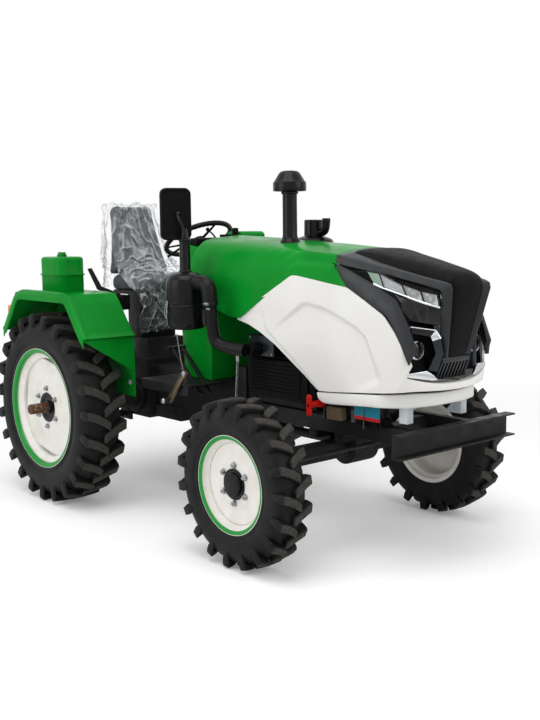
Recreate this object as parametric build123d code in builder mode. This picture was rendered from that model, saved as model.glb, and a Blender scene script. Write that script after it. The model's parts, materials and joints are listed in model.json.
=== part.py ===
"""Compact four-wheel-drive farm tractor with an open driver's seat and a tilting bonnet.

Millimetres, +X forward, +Y to the driver's left, +Z up, ground at z = 0. While it is built, x counts
from the front axle. save() then moves every piece by ORIGIN_SHIFT, so that the written parts have
their origin on the ground under the middle of the whole tractor.
"""

from build123d import *
import math
import os

os.makedirs("parts", exist_ok=True)

# ---------------------------------------------------------------- driving dimensions
ORIGIN_SHIFT = 745.0  # front axle ahead of the origin
WHEELBASE = 1565.0
REAR_X = -WHEELBASE

FRONT_RADIUS = 375.0  # tips of the front lugs
FRONT_Y = 658.5  # middle of a front wheel
FRONT_RIM_R = 220.0
FRONT_RIM_HALF = 73.5

REAR_RADIUS = 518.0
REAR_Y = 676.5
REAR_RIM_R = 327.0
REAR_RIM_HALF = 112.5
SLOT_TURN = 80.0  # the first rear wheel slot, in degrees ahead of the highest point

KINGPIN_Y = 500.0
STEER_ARM = 170.0  # kingpin to tie rod pin
PIN_GAP = 0.05  # running clearance on a pin's radius

RAIL_Y = 200.0  # outer face of a frame rail
RAIL_TOP = 620.0
RAIL_BOTTOM = 545.0
SHEET = 5.0

BONNET_REAR = -805.0
HINGE = (BONNET_REAR, 1405.0)  # x, z of the bonnet's hinge pins
NOSE_TIP = 725.0

LINK_PIVOT = (REAR_X - 110.0, 400.0)  # x, z of the lower links' front pins
LINK_LENGTH = 517.0
LIFT_REACH = 250.0  # lift arm length, and the place of the rod's pin on the link
LIFT_ROD = 330.0  # lift rod between its pins
LINK_Y = 215.0


def save(shape, name):
    """Moves a finished piece to the tractor's own origin and writes it."""
    moved = shape.moved(Location((ORIGIN_SHIFT, 0, 0)))
    moved.label = name
    export_step(moved, f"parts/{name}.step")


def side_prism(points, y_low, y_high, mode=Mode.ADD):
    """Adds a prism of the (x, z) outline, between two y values, to the builder in use."""
    with BuildSketch(Plane.XZ.offset(-y_low)) as outline:
        Polygon(*points, align=None)
    extrude(outline.sketch, amount=y_high - y_low, dir=(0, 1, 0), mode=mode)


def block(x, y, z, mode=Mode.ADD):
    """Adds a box given by its (low, high) limits on each axis."""
    with Locations(((x[0] + x[1]) / 2, (y[0] + y[1]) / 2, (z[0] + z[1]) / 2)):
        Box(x[1] - x[0], y[1] - y[0], z[1] - z[0], mode=mode)


def rod(start, end, radius, mode=Mode.ADD):
    """Adds a round bar between two points."""
    a, b = Vector(*start), Vector(*end)
    with BuildSketch(Plane(origin=a, z_dir=b - a)) as end_face:
        Circle(radius)
    extrude(end_face.sketch, amount=(b - a).length, dir=tuple((b - a).normalized()), mode=mode)


# ---------------------------------------------------------------- wheels
def tread_bar(top, width, inner, outer, lean, depth):
    """One bar of the tread, standing at the top of a tyre whose axle passes through the origin.

    It runs from inner to outer across the tyre and leans back by lean. Its flat top is lowered so that
    its corners lie on the tyre's outer radius, top.
    """
    half_run = (lean + width) / 2
    flat_top = math.sqrt(top**2 - half_run**2)
    corners = [(lean, inner), (lean + width, inner), (width, outer), (0, outer)]
    with BuildPart() as bar:
        with BuildSketch(Plane.XY.offset(flat_top - depth)):
            Polygon(*[(x - half_run, y) for x, y in corners], align=None)
        extrude(amount=depth)
    return bar.part.rotate(Axis.Y, math.degrees(-(lean / 2) / top))


def faceted(rings, sides):
    """A solid of flat faces through rings of corners about Y.

    rings holds (y, radius) in a loop round the solid's section, and sides is the number of corners of
    each ring.
    """

    def corner(y, radius, i):
        turn = math.tau * i / sides
        return (radius * math.sin(turn), y, radius * math.cos(turn))

    faces = []
    for one, two in zip(rings, rings[1:] + rings[:1]):
        for i in range(sides):
            corners = [corner(*one, i), corner(*one, i + 1), corner(*two, i + 1), corner(*two, i)]
            faces.append(Face(Wire.make_polygon(corners)))
    return Solid(Shell(faces))


def tyre(name, side, x, y, sections, bore, tip_r, bars, bar):
    """A faceted tyre with bars set alternately on its two halves.

    sections holds (distance from the middle, radius) of the carcass, from its middle outwards. bars is
    the number of bars on one half, and bar the shape of one of them, as tread_bar makes it.
    """
    edge = sections[-1][0]
    rings = [(-out, radius) for out, radius in reversed(sections)] + list(sections)
    with BuildPart() as p:
        add(faceted([*rings, (edge, bore), (-edge, bore)], bars))
        pitch = 360 / bars
        halves = ((bar, 0.5), (bar.mirror(Plane.XZ), 0.0))
        add([shape.rotate(Axis.Y, (i + start) * pitch) for shape, start in halves for i in range(bars)])
    placed = p.part if side > 0 else p.part.mirror(Plane.XZ)
    save(placed.moved(Location((x, side * y, tip_r))), name)


def wheel(name, side, x, y, z, section, disc, hub, chord=None):
    """A rim with its disc and hub. section holds (outward, radius) points of the rim's own band.

    disc holds (outward, inner radius, outer radius, thickness), hub rows of (from, to, radius) and
    the bearing bore as (from, to, radius). chord is the distance from the axle of the four straight
    cuts that open slots between the disc and the rim.
    """
    with BuildPart() as p:
        with BuildSketch(Plane.YZ.offset(x)):
            with BuildLine():
                Polyline(*[(side * (y + out), z + r) for out, r in section], close=True)
            make_face()
        revolve(axis=Axis((x, 0, z), (0, 1, 0)))
        out, inner, outer, thick = disc
        with BuildSketch(Plane((x, side * (y + out), z), z_dir=(0, -side, 0))):
            Circle(outer)
            Circle(inner, mode=Mode.SUBTRACT)
            if chord:
                with PolarLocations((chord + outer) / 2 - 1, 4, start_angle=SLOT_TURN):
                    Rectangle(outer - chord - 2, 1.4 * math.sqrt(outer**2 - chord**2), mode=Mode.SUBTRACT)
        extrude(amount=thick)
        rows, bore = hub
        for low, high, radius in rows:
            rod((x, side * (y + low), z), (x, side * (y + high), z), radius)
        if bore:
            low, high, radius = bore
            rod((x, side * (y + low), z), (x, side * (y + high), z), radius, mode=Mode.SUBTRACT)
    save(p.part, name)


FRONT_SECTION = [
    (73, 220), (66, 220), (64, 204), (48, 203), (36, 186), (-36, 186), (-48, 203), (-64, 204),
    (-66, 220), (-73, 220), (-73, 214), (-70, 198), (-51, 197), (-39, 180), (39, 180), (51, 197),
    (70, 198), (73, 214),
]
REAR_SECTION = [
    (112, 327), (104, 327), (102, 306), (82, 305), (64, 276), (-64, 276), (-82, 305), (-102, 306),
    (-104, 327), (-112, 327), (-112, 320), (-108, 299), (-85, 298), (-67, 269), (67, 269),
    (85, 298), (108, 299), (112, 320),
]
# Carcass columns: distance from the tyre's middle, radius.
FRONT_CARCASS = [(70, 346), (87, 286), (62, 222)]
REAR_CARCASS = [(98, 484), (122, 408), (101, 329)]
FRONT_BAR = tread_bar(FRONT_RADIUS, 34, -6, 82, 56, 60)
REAR_BAR = tread_bar(REAR_RADIUS, 40, -10, 116, 80, 70)
for tag, side in (("left", 1), ("right", -1)):
    tyre(f"front_tyre_{tag}", side, 0, FRONT_Y, FRONT_CARCASS, 207.5, FRONT_RADIUS, 19, FRONT_BAR)
    tyre(f"rear_tyre_{tag}", side, REAR_X, REAR_Y, REAR_CARCASS, 309.5, REAR_RADIUS, 23, REAR_BAR)
    wheel(
        f"front_wheel_{tag}", side, 0, FRONT_Y, FRONT_RADIUS, FRONT_SECTION,
        (33, 60, 181, 7), ([(-48, 46, 69), (46, 62, 52)], (-48, 30, 30 + PIN_GAP)),
    )
    wheel(
        f"rear_wheel_{tag}", side, REAR_X, REAR_Y, REAR_RADIUS, REAR_SECTION,
        (57, 70, 270, 8), ([(20, 69, 82), (-104, 175.5, 28)], None), chord=250,
    )

# ---------------------------------------------------------------- front axle and steering
AXLE_Z = 440.0
with BuildPart() as axle:
    block((-40, 40), (-KINGPIN_Y, KINGPIN_Y), (AXLE_Z - 38, AXLE_Z + 38))
    rod((0, -30, AXLE_Z - 5), (0, 130, AXLE_Z - 5), 80)
    for side in (1, -1):
        block((-45, 45), (side * KINGPIN_Y - 45, side * KINGPIN_Y + 45), (395, 485), mode=Mode.SUBTRACT)
        rod((0, side * KINGPIN_Y, 395), (0, side * KINGPIN_Y, 485), 36)
        block((-40, 40), sorted((side * 440, side * 478)), (AXLE_Z - 38, AXLE_Z + 38))
        rod((0, side * KINGPIN_Y, 390), (0, side * KINGPIN_Y, 490), 15 + PIN_GAP, mode=Mode.SUBTRACT)
    for low, high in ((60, 110), (-110, -60)):
        block((low, high), (-150, 150), (AXLE_Z + 50, RAIL_BOTTOM))
        block((low, high), (-60, 60), (AXLE_Z - 20, AXLE_Z + 50))
    rod((-110, 0, AXLE_Z), (110, 0, AXLE_Z), 25)
save(axle.part, "front_axle")

for tag, side in (("left", 1), ("right", -1)):
    with BuildPart() as knuckle:
        for low, high in ((490.3, 508), (372, 389.7)):
            block((-34, 34), sorted((side * (KINGPIN_Y - 20), side * (KINGPIN_Y + 60))), (low, high))
        block((-40, 40), sorted((side * 543, side * 560)), (320, 508))
        rod((0, side * KINGPIN_Y, 365), (0, side * KINGPIN_Y, 520), 15)
        rod((0, side * 560, FRONT_RADIUS), (0, side * 603, FRONT_RADIUS), 55)
        rod((0, side * 603, FRONT_RADIUS), (0, side * 685, FRONT_RADIUS), 30)
        block((0, STEER_ARM), sorted((side * (KINGPIN_Y - 18), side * (KINGPIN_Y + 18))), (490.3, 508))
        rod((STEER_ARM, side * KINGPIN_Y, 490.3), (STEER_ARM, side * KINGPIN_Y, 508), 20)
        rod(
            (STEER_ARM, side * KINGPIN_Y, 480), (STEER_ARM, side * KINGPIN_Y, 520), 9 + PIN_GAP,
            mode=Mode.SUBTRACT,
        )
    save(knuckle.part, f"knuckle_{tag}")

with BuildPart() as tie_rod:
    rod((STEER_ARM, -KINGPIN_Y + 10, 478), (STEER_ARM, KINGPIN_Y - 10, 478), 11)
    for side in (1, -1):
        rod((STEER_ARM, side * KINGPIN_Y, 466), (STEER_ARM, side * KINGPIN_Y, 490), 19)
        rod((STEER_ARM, side * KINGPIN_Y, 490), (STEER_ARM, side * KINGPIN_Y, 514), 9)
save(tie_rod.part, "tie_rod")

STEER_TILT = 28.0
STEER_CENTRE = Vector(-1155, 0, 1420)
STEER_AXIS = Vector(-math.sin(math.radians(STEER_TILT)), 0, math.cos(math.radians(STEER_TILT)))
STEER_R = 198.0
RIM_GRIP = 14.0
with BuildPart() as steering_wheel:
    plane = Plane(origin=STEER_CENTRE, x_dir=(0, 1, 0), z_dir=STEER_AXIS)
    with BuildSketch(Plane(origin=STEER_CENTRE, x_dir=plane.x_dir, z_dir=-plane.y_dir)):
        with Locations((STEER_R - RIM_GRIP, 0)):
            Circle(RIM_GRIP)
    revolve(axis=Axis(STEER_CENTRE, STEER_AXIS))
    with BuildSketch(plane.offset(-45)):
        Circle(34)
    extrude(amount=50)
    with BuildSketch(plane.offset(-16)):
        for turn in (90, 210, 330):
            with Locations(Rotation(0, 0, turn) * Location((95, 0, 0))):
                Rectangle(168, 18)
    extrude(amount=8)
    rod(tuple(STEER_CENTRE - STEER_AXIS * 95), tuple(STEER_CENTRE - STEER_AXIS * 40), 11)
save(steering_wheel.part, "steering_wheel")

# ---------------------------------------------------------------- frame
with BuildPart() as frame_rails:
    for side in (1, -1):
        y = sorted((side * RAIL_Y, side * (RAIL_Y - 45)))
        block((-560, 622), y, (RAIL_BOTTOM, RAIL_TOP))
        y_in = sorted((side * (RAIL_Y - 7), side * (RAIL_Y - 46)))
        block((-560, 622), y_in, (RAIL_BOTTOM + 7, RAIL_TOP - 7), mode=Mode.SUBTRACT)
    for x in (-560, -270, 20, 300, 572):
        block((x, x + 50), (-RAIL_Y + 7, RAIL_Y - 7), (RAIL_BOTTOM + 7, RAIL_TOP - 7))
save(frame_rails.part, "frame_rails")

BEAM_Z = (538.0, 638.0)
with BuildPart() as front_beam:
    block((622, 674), (-385, 385), BEAM_Z)
    block((628, 675), (-386, 386), (BEAM_Z[0] + 7, BEAM_Z[1] - 7), mode=Mode.SUBTRACT)
    rod((652, 0, BEAM_Z[0] - 1), (652, 0, BEAM_Z[1] + 1), 11, mode=Mode.SUBTRACT)
save(front_beam.part, "front_beam")

# Plan outline of the apron: x ahead, half width.
APRON_PLAN = [(105, 300), (470, 300), (572, 220), (608, 110)]
# The apron's lower and upper edges from the side: x ahead, height.
APRON_FOOT = [(145, 697), (185, 698), (415, 716), (564, 718), (620, 720)]
APRON_TOP = [(620, 776), (578, 783), (531, 779), (415, 770), (105, 746)]
APRON_REAR = [(105, 728), (120, 706)]
BRACKET_TOP = 716.0


def plan_band(rows, wall):
    """Adds the plan outline of a band open at the back to the sketch in use."""
    outer = rows + [(x, -y) for x, y in reversed(rows)]
    inner = [(x - (0 if i == 0 else wall), y - wall) for i, (x, y) in enumerate(rows)]
    Polygon(*outer, *[(x, -y) for x, y in inner], *reversed(inner), align=None)


with BuildPart() as apron:
    side_prism(APRON_FOOT + APRON_TOP + APRON_REAR, -310, 310)
    with BuildSketch(Plane.XY.offset(680)) as plan:
        plan_band(APRON_PLAN, 12)
    extrude(plan.sketch, amount=120, dir=(0, 0, 1), mode=Mode.INTERSECT)
    block((490, 560), (-225, 225), (BRACKET_TOP, BRACKET_TOP + 6))
    for side in (1, -1):
        block((500, 545), sorted((side * 160, side * 200)), (RAIL_TOP, BRACKET_TOP))
        side_prism([(455, RAIL_TOP), (500, RAIL_TOP), (500, 700)], *sorted((side * 160, side * 166)))
save(apron.part, "apron")

# ---------------------------------------------------------------- engine, gearbox and rear axle
with BuildPart() as engine:
    block((-440, -20), (-190, 190), (RAIL_TOP + 6, 960))
    block((-400, -60), (-120, 120), (960, 1060))
    block((-560, -440), (-150, 150), (RAIL_TOP, 900))
save(engine.part, "engine")

with BuildPart() as engine_cover:
    block((-445, -30), (-235, -190), (665, 850))
    block((-30, 10), (-225, -190), (690, 800))
    block((-413, -230), (-262, -190), (866, 965))
    for i in range(9):
        block((-425, -75), (-243, -235), (690 + 18 * i, 699 + 18 * i))
    rod((-340, -262, 900), (-340, -330, 900), 34)
save(engine_cover.part, "engine_cover")

with BuildPart() as radiator:
    block((120, 190), (-190, 190), (RAIL_TOP, 1190))
save(radiator.part, "radiator")

with BuildPart() as battery:
    block((262, 440), (-250, -75), (RAIL_TOP, 745))
    block((267, 435), (-245, -80), (745, 755))
    block((345, 357), (-256, -69), (RAIL_TOP, 761))
save(battery.part, "battery")

with BuildPart() as isolator:
    block((95, 110), (-255, -215), (RAIL_TOP, 700))
    rod((92, -255, 690), (92, -332, 690), 12)
    rod((92, -247, 690), (92, -285, 690), 18)
    with BuildSketch(Plane.XZ.offset(332)) as grip:
        with Locations((92, 689)):
            SlotOverall(98, 22, rotation=90)
    extrude(grip.sketch, amount=15, dir=(0, -1, 0))
    block((110, 205), (-255, -215), (RAIL_TOP, 680))
save(isolator.part, "isolator_switch")

with BuildPart() as gearbox:
    block((-640, -560), (-165, 165), (480, 780))
    block((-1430, -640), (-130, 130), (440, 700))
    block((-1400, -1150), (-150, 150), (414, 480))
    block((-760, -640), (0, 120), (400, 480))
    block((-1715, -1430), (-170, 170), (400, 740))
    block((-1690, -1480), (-130, 130), (740, 850))
save(gearbox.part, "gearbox")

with BuildPart() as rear_axle:
    for side in (1, -1):
        rod((REAR_X, side * 170, REAR_RADIUS), (REAR_X, side * 625, REAR_RADIUS), 62)
        rod((REAR_X, side * 600, REAR_RADIUS), (REAR_X, side * 625, REAR_RADIUS), 90)
        rod((REAR_X, side * 170, REAR_RADIUS), (REAR_X, side * 195, REAR_RADIUS), 95)
        rod(
            (REAR_X, side * 565, REAR_RADIUS), (REAR_X, side * 626, REAR_RADIUS), 28 + PIN_GAP,
            mode=Mode.SUBTRACT,
        )
save(rear_axle.part, "rear_axle")

with BuildPart() as drive_shaft:
    rod((-640, 60, 440), (-110, 60, 440), 24)
    rod((-160, 60, 440), (-110, 60, 440), 34)
save(drive_shaft.part, "drive_shaft")

# ---------------------------------------------------------------- driver's place
with BuildPart() as footplates:
    for side in (1, -1):
        block((-1050, -640), sorted((side * 135, side * 470)), (700, 706))
        block((-1050, -640), sorted((side * 464, side * 470)), (655, 700))
        block((-1050, -1044), sorted((side * 135, side * 470)), (655, 700))
        block((-900, -840), sorted((side * 130, side * 464)), (655, 700))
save(footplates.part, "footplates")

with BuildPart() as console:
    side_prism(
        [(-950, 706), (-722, 706), (-722, 1350), (-850, 1386), (-960, 1400), (-1000, 1200)], -255, 255
    )
    for side in (1, -1):
        block((HINGE[0] - 8, HINGE[0] + 8), sorted((side * 108, side * 120)), (1350, HINGE[1]))
        rod((HINGE[0], side * 108, HINGE[1]), (HINGE[0], side * 120, HINGE[1]), 8)
        rod((HINGE[0], side * 108, HINGE[1]), (HINGE[0], side * 142, HINGE[1]), 5)
save(console.part, "console")

with BuildPart() as dash:
    side_prism([(-960, 1400), (-850, 1386), (-846, 1430), (-1000, 1420), (-1000, 1385), (-966, 1380)], -240, 240)
    block((-990, -862), (70, 238), (1420, 1462))
    rod((-875, 0, 1424), (-875, 0, 1479), 17)
    block((-895, -850), (-60, 45), (1424, 1446))
    add(console.part, mode=Mode.SUBTRACT)
save(dash.part, "dash")

with BuildPart() as column:
    top = STEER_CENTRE - STEER_AXIS * 55
    bottom = STEER_CENTRE - STEER_AXIS * 480
    rod(tuple(bottom), tuple(top), 24)
    rod(tuple(STEER_CENTRE - STEER_AXIS * 105), tuple(top), 11 + PIN_GAP, mode=Mode.SUBTRACT)
    add(console.part, mode=Mode.SUBTRACT)
    add(dash.part, mode=Mode.SUBTRACT)
save(column.part, "steering_column")

# Fender outline columns: x ahead of the front axle, height.
FENDER_TOP = [(-1060, 925), (-1230, 1145), (-1760, 1145), (-1930, 925)]
FENDER_IN, FENDER_OUT = 500.0, 805.0
with BuildPart() as fenders:
    for side in (1, -1):
        y = sorted((side * FENDER_IN, side * FENDER_OUT))
        under = [(x, z - SHEET) for x, z in FENDER_TOP]
        side_prism(FENDER_TOP + under[::-1], *y)
        lip = [(x, z - 40) for x, z in FENDER_TOP]
        side_prism(FENDER_TOP + lip[::-1], *sorted((side * (FENDER_OUT - SHEET), side * FENDER_OUT)))
        wall = FENDER_TOP + [(-1800, 800), (-1650, 580), (-1480, 580), (-1400, 610), (-1060, 610)]
        side_prism(wall, *sorted((side * FENDER_IN, side * (FENDER_IN + SHEET))))
        with BuildSketch(Plane.YZ.offset(-1060 - SHEET)):
            with BuildLine():
                Polyline((side * FENDER_IN, 925), (side * FENDER_OUT, 925), (side * FENDER_IN, 740), close=True)
            make_face()
        extrude(amount=SHEET)
    add(rear_axle.part, mode=Mode.SUBTRACT)
save(fenders.part, "fenders")

TANK = (-1530.0, -640.0, 1145.0)
with BuildPart() as fuel_tank:
    for low, high, grow in ((0, 190, 0), (92, 98, 6)):
        with BuildSketch(Plane.XY.offset(TANK[2] + low)):
            with Locations(TANK[:2]):
                RectangleRounded(230 + 2 * grow, 170 + 2 * grow, 55)
        extrude(amount=high - low)
    fillet(fuel_tank.edges().group_by(Axis.Z)[-1], 18)
    rod((TANK[0], TANK[1], TANK[2] + 190), (TANK[0], TANK[1], TANK[2] + 202), 26)
    block((TANK[0] - 34, TANK[0] + 34), (TANK[1] - 5, TANK[1] + 5), (TANK[2] + 200, TANK[2] + 214))
save(fuel_tank.part, "fuel_tank")

with BuildPart() as tail_lamps:
    for side in (1, -1):
        block((-1935, -1905), sorted((side * 690, side * 770)), (1000, 1060))
    add(fenders.part, mode=Mode.SUBTRACT)
save(tail_lamps.part, "tail_lamps")

with BuildPart() as seat_base:
    block((-1700, -1560), (-120, 120), (850, 1105))
    block((-1760, -1450), (-180, 180), (1105, 1128))
save(seat_base.part, "seat_base")

with BuildPart() as seat_cushion:
    with BuildSketch(Plane.XY.offset(1128)):
        with Locations((-1590, 0)):
            RectangleRounded(390, 420, 70)
    extrude(amount=90)
    fillet(seat_cushion.edges().group_by(Axis.Z)[-1], 25)
save(seat_cushion.part, "seat_cushion")

BACK_LEAN = 12.0
with BuildPart() as seat_back:
    base = Plane(origin=(-1745, 0, 1219), x_dir=(0, 1, 0), z_dir=(-math.sin(math.radians(BACK_LEAN)), 0, math.cos(math.radians(BACK_LEAN))))
    for height, width in ((0, 400), (410, 290)):
        with BuildSketch(base.offset(height)):
            RectangleRounded(width, 90, 40)
    loft()
    block((-1900, -1500), (-300, 300), (1100, 1219), mode=Mode.SUBTRACT)
save(seat_back.part, "seat_back")

with BuildPart() as controls:
    block((-1480, -1340), (-499, -380), (1000, 1110))
    block((-1470, -1350), (-400, -330), (1040, 1120))
    side_prism([(-1440, 1110), (-1400, 1125), (-1600, 1160), (-1700, 1260), (-1720, 1255), (-1620, 1140)], -375, -355)
    rod((-1010, -200, 1390), (-1080, -262, 1330), 6)
    add(console.part, mode=Mode.SUBTRACT)
    add(dash.part, mode=Mode.SUBTRACT)
save(controls.part, "control_levers")

with BuildPart() as pedals:
    for y in (-330, -270, 300):
        rod((-720, y, 640), (-960, y, 860), 9)
        block((-985, -950), (y - 28, y + 28), (850, 866))
    side_prism([(-650, 785), (-625, 775), (-770, 615), (-795, 628)], -490, -478)
    rod((-782, -520, 622), (-782, -471, 622), 14)
    add(footplates.part, mode=Mode.SUBTRACT)
    add(console.part, mode=Mode.SUBTRACT)
save(pedals.part, "pedals")

# ---------------------------------------------------------------- air cleaner and mirror
CLEANER = (-698.0, -428.0)
with BuildPart() as air_cleaner:
    rod((*CLEANER, 985), (*CLEANER, 1266), 98)
    fillet(air_cleaner.edges().group_by(Axis.Z)[-1], 45)
    fillet(air_cleaner.edges().group_by(Axis.Z)[0], 15)
    rod((*CLEANER, 1112), (*CLEANER, 1126), 101)
    rod((*CLEANER, 1262), (*CLEANER, 1432), 26)
    block((-760, -735), (-345, -255), (1020, 1085))
save(air_cleaner.part, "air_cleaner")

with BuildPart() as air_duct:
    points = [(-640, -428, 1215), (-505, -428, 1215), (-505, -405, 930), (-340, -350, 900)]
    with BuildLine() as path:
        FilletPolyline(*points, radius=[50, 60])
    with BuildSketch(Plane(origin=points[0], z_dir=(1, 0, 0))):
        Circle(31)
    sweep()
    add(air_cleaner.part, mode=Mode.SUBTRACT)
    add(engine_cover.part, mode=Mode.SUBTRACT)
save(air_duct.part, "air_duct")

with BuildPart() as mirror:
    with BuildSketch(Plane(origin=(-750, -440, 1548), x_dir=(0.35, 0.94, 0), z_dir=(0.94, -0.35, 0))):
        RectangleRounded(155, 255, 30)
    extrude(amount=16, both=True)
    rod((*CLEANER, 1432), (-705, -448, 1500), 7)
    rod((-705, -448, 1500), (-743, -442, 1548), 7)
    add(air_cleaner.part, mode=Mode.SUBTRACT)
save(mirror.part, "mirror")

# ---------------------------------------------------------------- bonnet
# Bonnet section columns: x, then half width and height of each fold from the middle to the foot.
BONNET_SECTIONS = [
    (-823, [(100, 1434), (184, 1427), (240, 1410), (274, 1374), (302, 1315), (312, 1257), (318, 1020)]),
    (-250, [(110, 1406), (190, 1396), (245, 1380), (272, 1334), (288, 1312), (302, 1245), (316, 1020)]),
    (180, [(115, 1377), (187, 1363), (248, 1356), (258, 1315), (286, 1306), (297, 1245), (308, 1020)]),
    (300, [(115, 1366), (180, 1345), (222, 1333), (234, 1293), (280, 1284), (292, 1235), (304, 1020)]),
]


def pulled_in(points, inset):
    """The points of a half section, from its middle outwards, moved inwards by inset."""
    moved = []
    for i, point in enumerate(points):
        before, after = points[max(i - 1, 0)], points[min(i + 1, len(points) - 1)]
        along = Vector(after[0] - before[0], after[1] - before[1]).normalized()
        moved.append((point[0] + along.Y * inset, point[1] - along.X * inset))
    return moved


def bonnet_loft(inset):
    """Adds the bonnet's body, pulled in by inset all round."""
    sections = []
    for x, folds in BONNET_SECTIONS:
        half = pulled_in(folds, inset)
        with BuildSketch(Plane.YZ.offset(x)) as section:
            Polygon(*half, *[(-y, z) for y, z in reversed(half)], align=None)
        sections.append(section.sketch)
    loft(sections, ruled=True)


# Side outlines: x ahead of the front axle, height.
BONNET_BACK = [(BONNET_REAR, 1500), (BONNET_REAR, 1420), (-822, 1260)]
GREEN_EDGE = [(-778, 1117), (-490, 1049), (-419, 1047), (-55, 1264), (290, 1218), (180, 1360), (176, 1500)]
WHITE_PANEL = [
    (-444, 1041), (-412, 1073), (-55, 1264), (290, 1218), (496, 1105), (549, 1034), (609, 912),
    (594, 854), (622, 836), (643, 822), (670, 818), (670, 784), (636, 790), (554, 788), (414, 775),
    (185, 754), (108, 751), (-76, 874), (-286, 993),
]
with BuildPart() as bonnet_core:
    bonnet_loft(SHEET)
with BuildPart() as bonnet_body:
    bonnet_loft(0)
with BuildPart() as bonnet:
    bonnet_loft(0)
    add(bonnet_core.part, mode=Mode.SUBTRACT)
    with BuildSketch(Plane.XZ.offset(-400)) as outline:
        Polygon(*BONNET_BACK, *GREEN_EDGE, align=None)
    extrude(outline.sketch, amount=800, dir=(0, -1, 0), mode=Mode.INTERSECT)
    for side in (1, -1):
        block((HINGE[0] - 10, HINGE[0] + 10), sorted((side * 128, side * 138)), (HINGE[1] - 11, 1429))
        rod((HINGE[0], side * 125, HINGE[1]), (HINGE[0], side * 141, HINGE[1]), 5 + PIN_GAP, mode=Mode.SUBTRACT)
save(bonnet.part, "bonnet")

# Plan of the white panels and the lip that joins them: x ahead, half width.
PANEL_PLAN = [(-450, 314), (-100, 306), (285, 302), (490, 296), (575, 272), (612, 225), (636, 149), (652, 60)]
with BuildPart() as side_panels:
    side_prism(WHITE_PANEL, -320, 320)
    with BuildSketch(Plane.XY.offset(740)) as plan:
        plan_band(PANEL_PLAN, 16)
    extrude(plan.sketch, amount=560, dir=(0, 0, 1), mode=Mode.INTERSECT)
    add(bonnet.part, mode=Mode.SUBTRACT)
save(side_panels.part, "side_panels")

# Cowl section columns: x, then half width and height of brow foot, crest, hump edge and hump crown.
COWL_SECTIONS = [
    (181, [(259, 1314), (249, 1356), (187, 1364), (100, 1379)]),
    (300, [(233, 1292), (223, 1332), (173, 1341), (100, 1369)]),
    (460, [(195, 1262), (188, 1299), (146, 1298), (85, 1337)]),
    (640, [(154, 1221), (146, 1258), (116, 1256), (66, 1296)]),
    (692, [(144, 1206), (135, 1248), (106, 1238), (62, 1274)]),
    (NOSE_TIP, [(134, 1196), (127, 1216), (99, 1216), (50, 1222)]),
]
CHEEK_PLAN = [(180, 296), (284, 297), (496, 280), (609, 269), (637, 250)]
CHEEK = [
    (181, 1352), (290, 1219), (496, 1106), (549, 1035), (601, 928), (610, 913), (637, 970), (586, 1087),
    (534, 1174), (390, 1249), (300, 1287), (225, 1316),
]


def cowl_loft(inset, mode=Mode.ADD):
    """Adds the cowl's hump, or with mode SUBTRACT and an inset the hollow under it."""
    sections = []
    for x, folds in COWL_SECTIONS:
        low_half, low_z = folds[0]
        half = [(low_half - inset, low_z - 3 * inset)] + [(y - inset, z - inset) for y, z in folds[1:]]
        with BuildSketch(Plane.YZ.offset(x - 1.5 * inset)) as section:
            Polygon(*half, *[(-y, z) for y, z in reversed(half)], align=None)
        sections.append(section.sketch)
    loft(sections, ruled=True, mode=mode)


with BuildPart() as cheeks:
    side_prism(CHEEK, -300, 300)
    with BuildSketch(Plane.XY.offset(880)) as plan:
        plan_band(CHEEK_PLAN, 20)
    extrude(plan.sketch, amount=500, dir=(0, 0, 1), mode=Mode.INTERSECT)
    block((500, 700), (-225, 225), (880, 1380), mode=Mode.SUBTRACT)

with BuildPart() as nose_cowl:
    cowl_loft(0)
    cowl_loft(6, mode=Mode.SUBTRACT)
    stem = []
    for x, depth, half, z in ((686, 70, 128, 1214), (637, 46, 82, 932)):
        with BuildSketch(Plane.XY.offset(z)) as section:
            with Locations((x, 0)):
                Rectangle(depth, 2 * half)
        stem.append(section.sketch)
    loft(stem, ruled=True)
    add(cheeks.part)
    block((555, 575), (-262, 262), (845, 1215))
    block((575, 660), (-118, 118), (1180, 1200))
    add(bonnet.part, mode=Mode.SUBTRACT)
    add(side_panels.part, mode=Mode.SUBTRACT)
save(nose_cowl.part, "nose_cowl")

LAMP_SIDE = [(386, 1291), (434, 1285), (527, 1241), (620, 1212), (695, 1197), (705, 1150), (571, 1184), (415, 1239)]
LAMP_PLAN = [(375, 279), (434, 265), (527, 238), (620, 209), (700, 184)]
with BuildPart() as headlamps:
    side_prism(LAMP_SIDE, -290, 290)
    with BuildSketch(Plane.XY.offset(1140)) as plan:
        for side in (1, -1):
            Polygon(
                *[(x, side * y) for x, y in LAMP_PLAN], *[(x, side * (y - 55)) for x, y in reversed(LAMP_PLAN)],
                align=None,
            )
    extrude(plan.sketch, amount=160, dir=(0, 0, 1), mode=Mode.INTERSECT)
    add(nose_cowl.part, mode=Mode.SUBTRACT)
save(headlamps.part, "headlamps")

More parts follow.
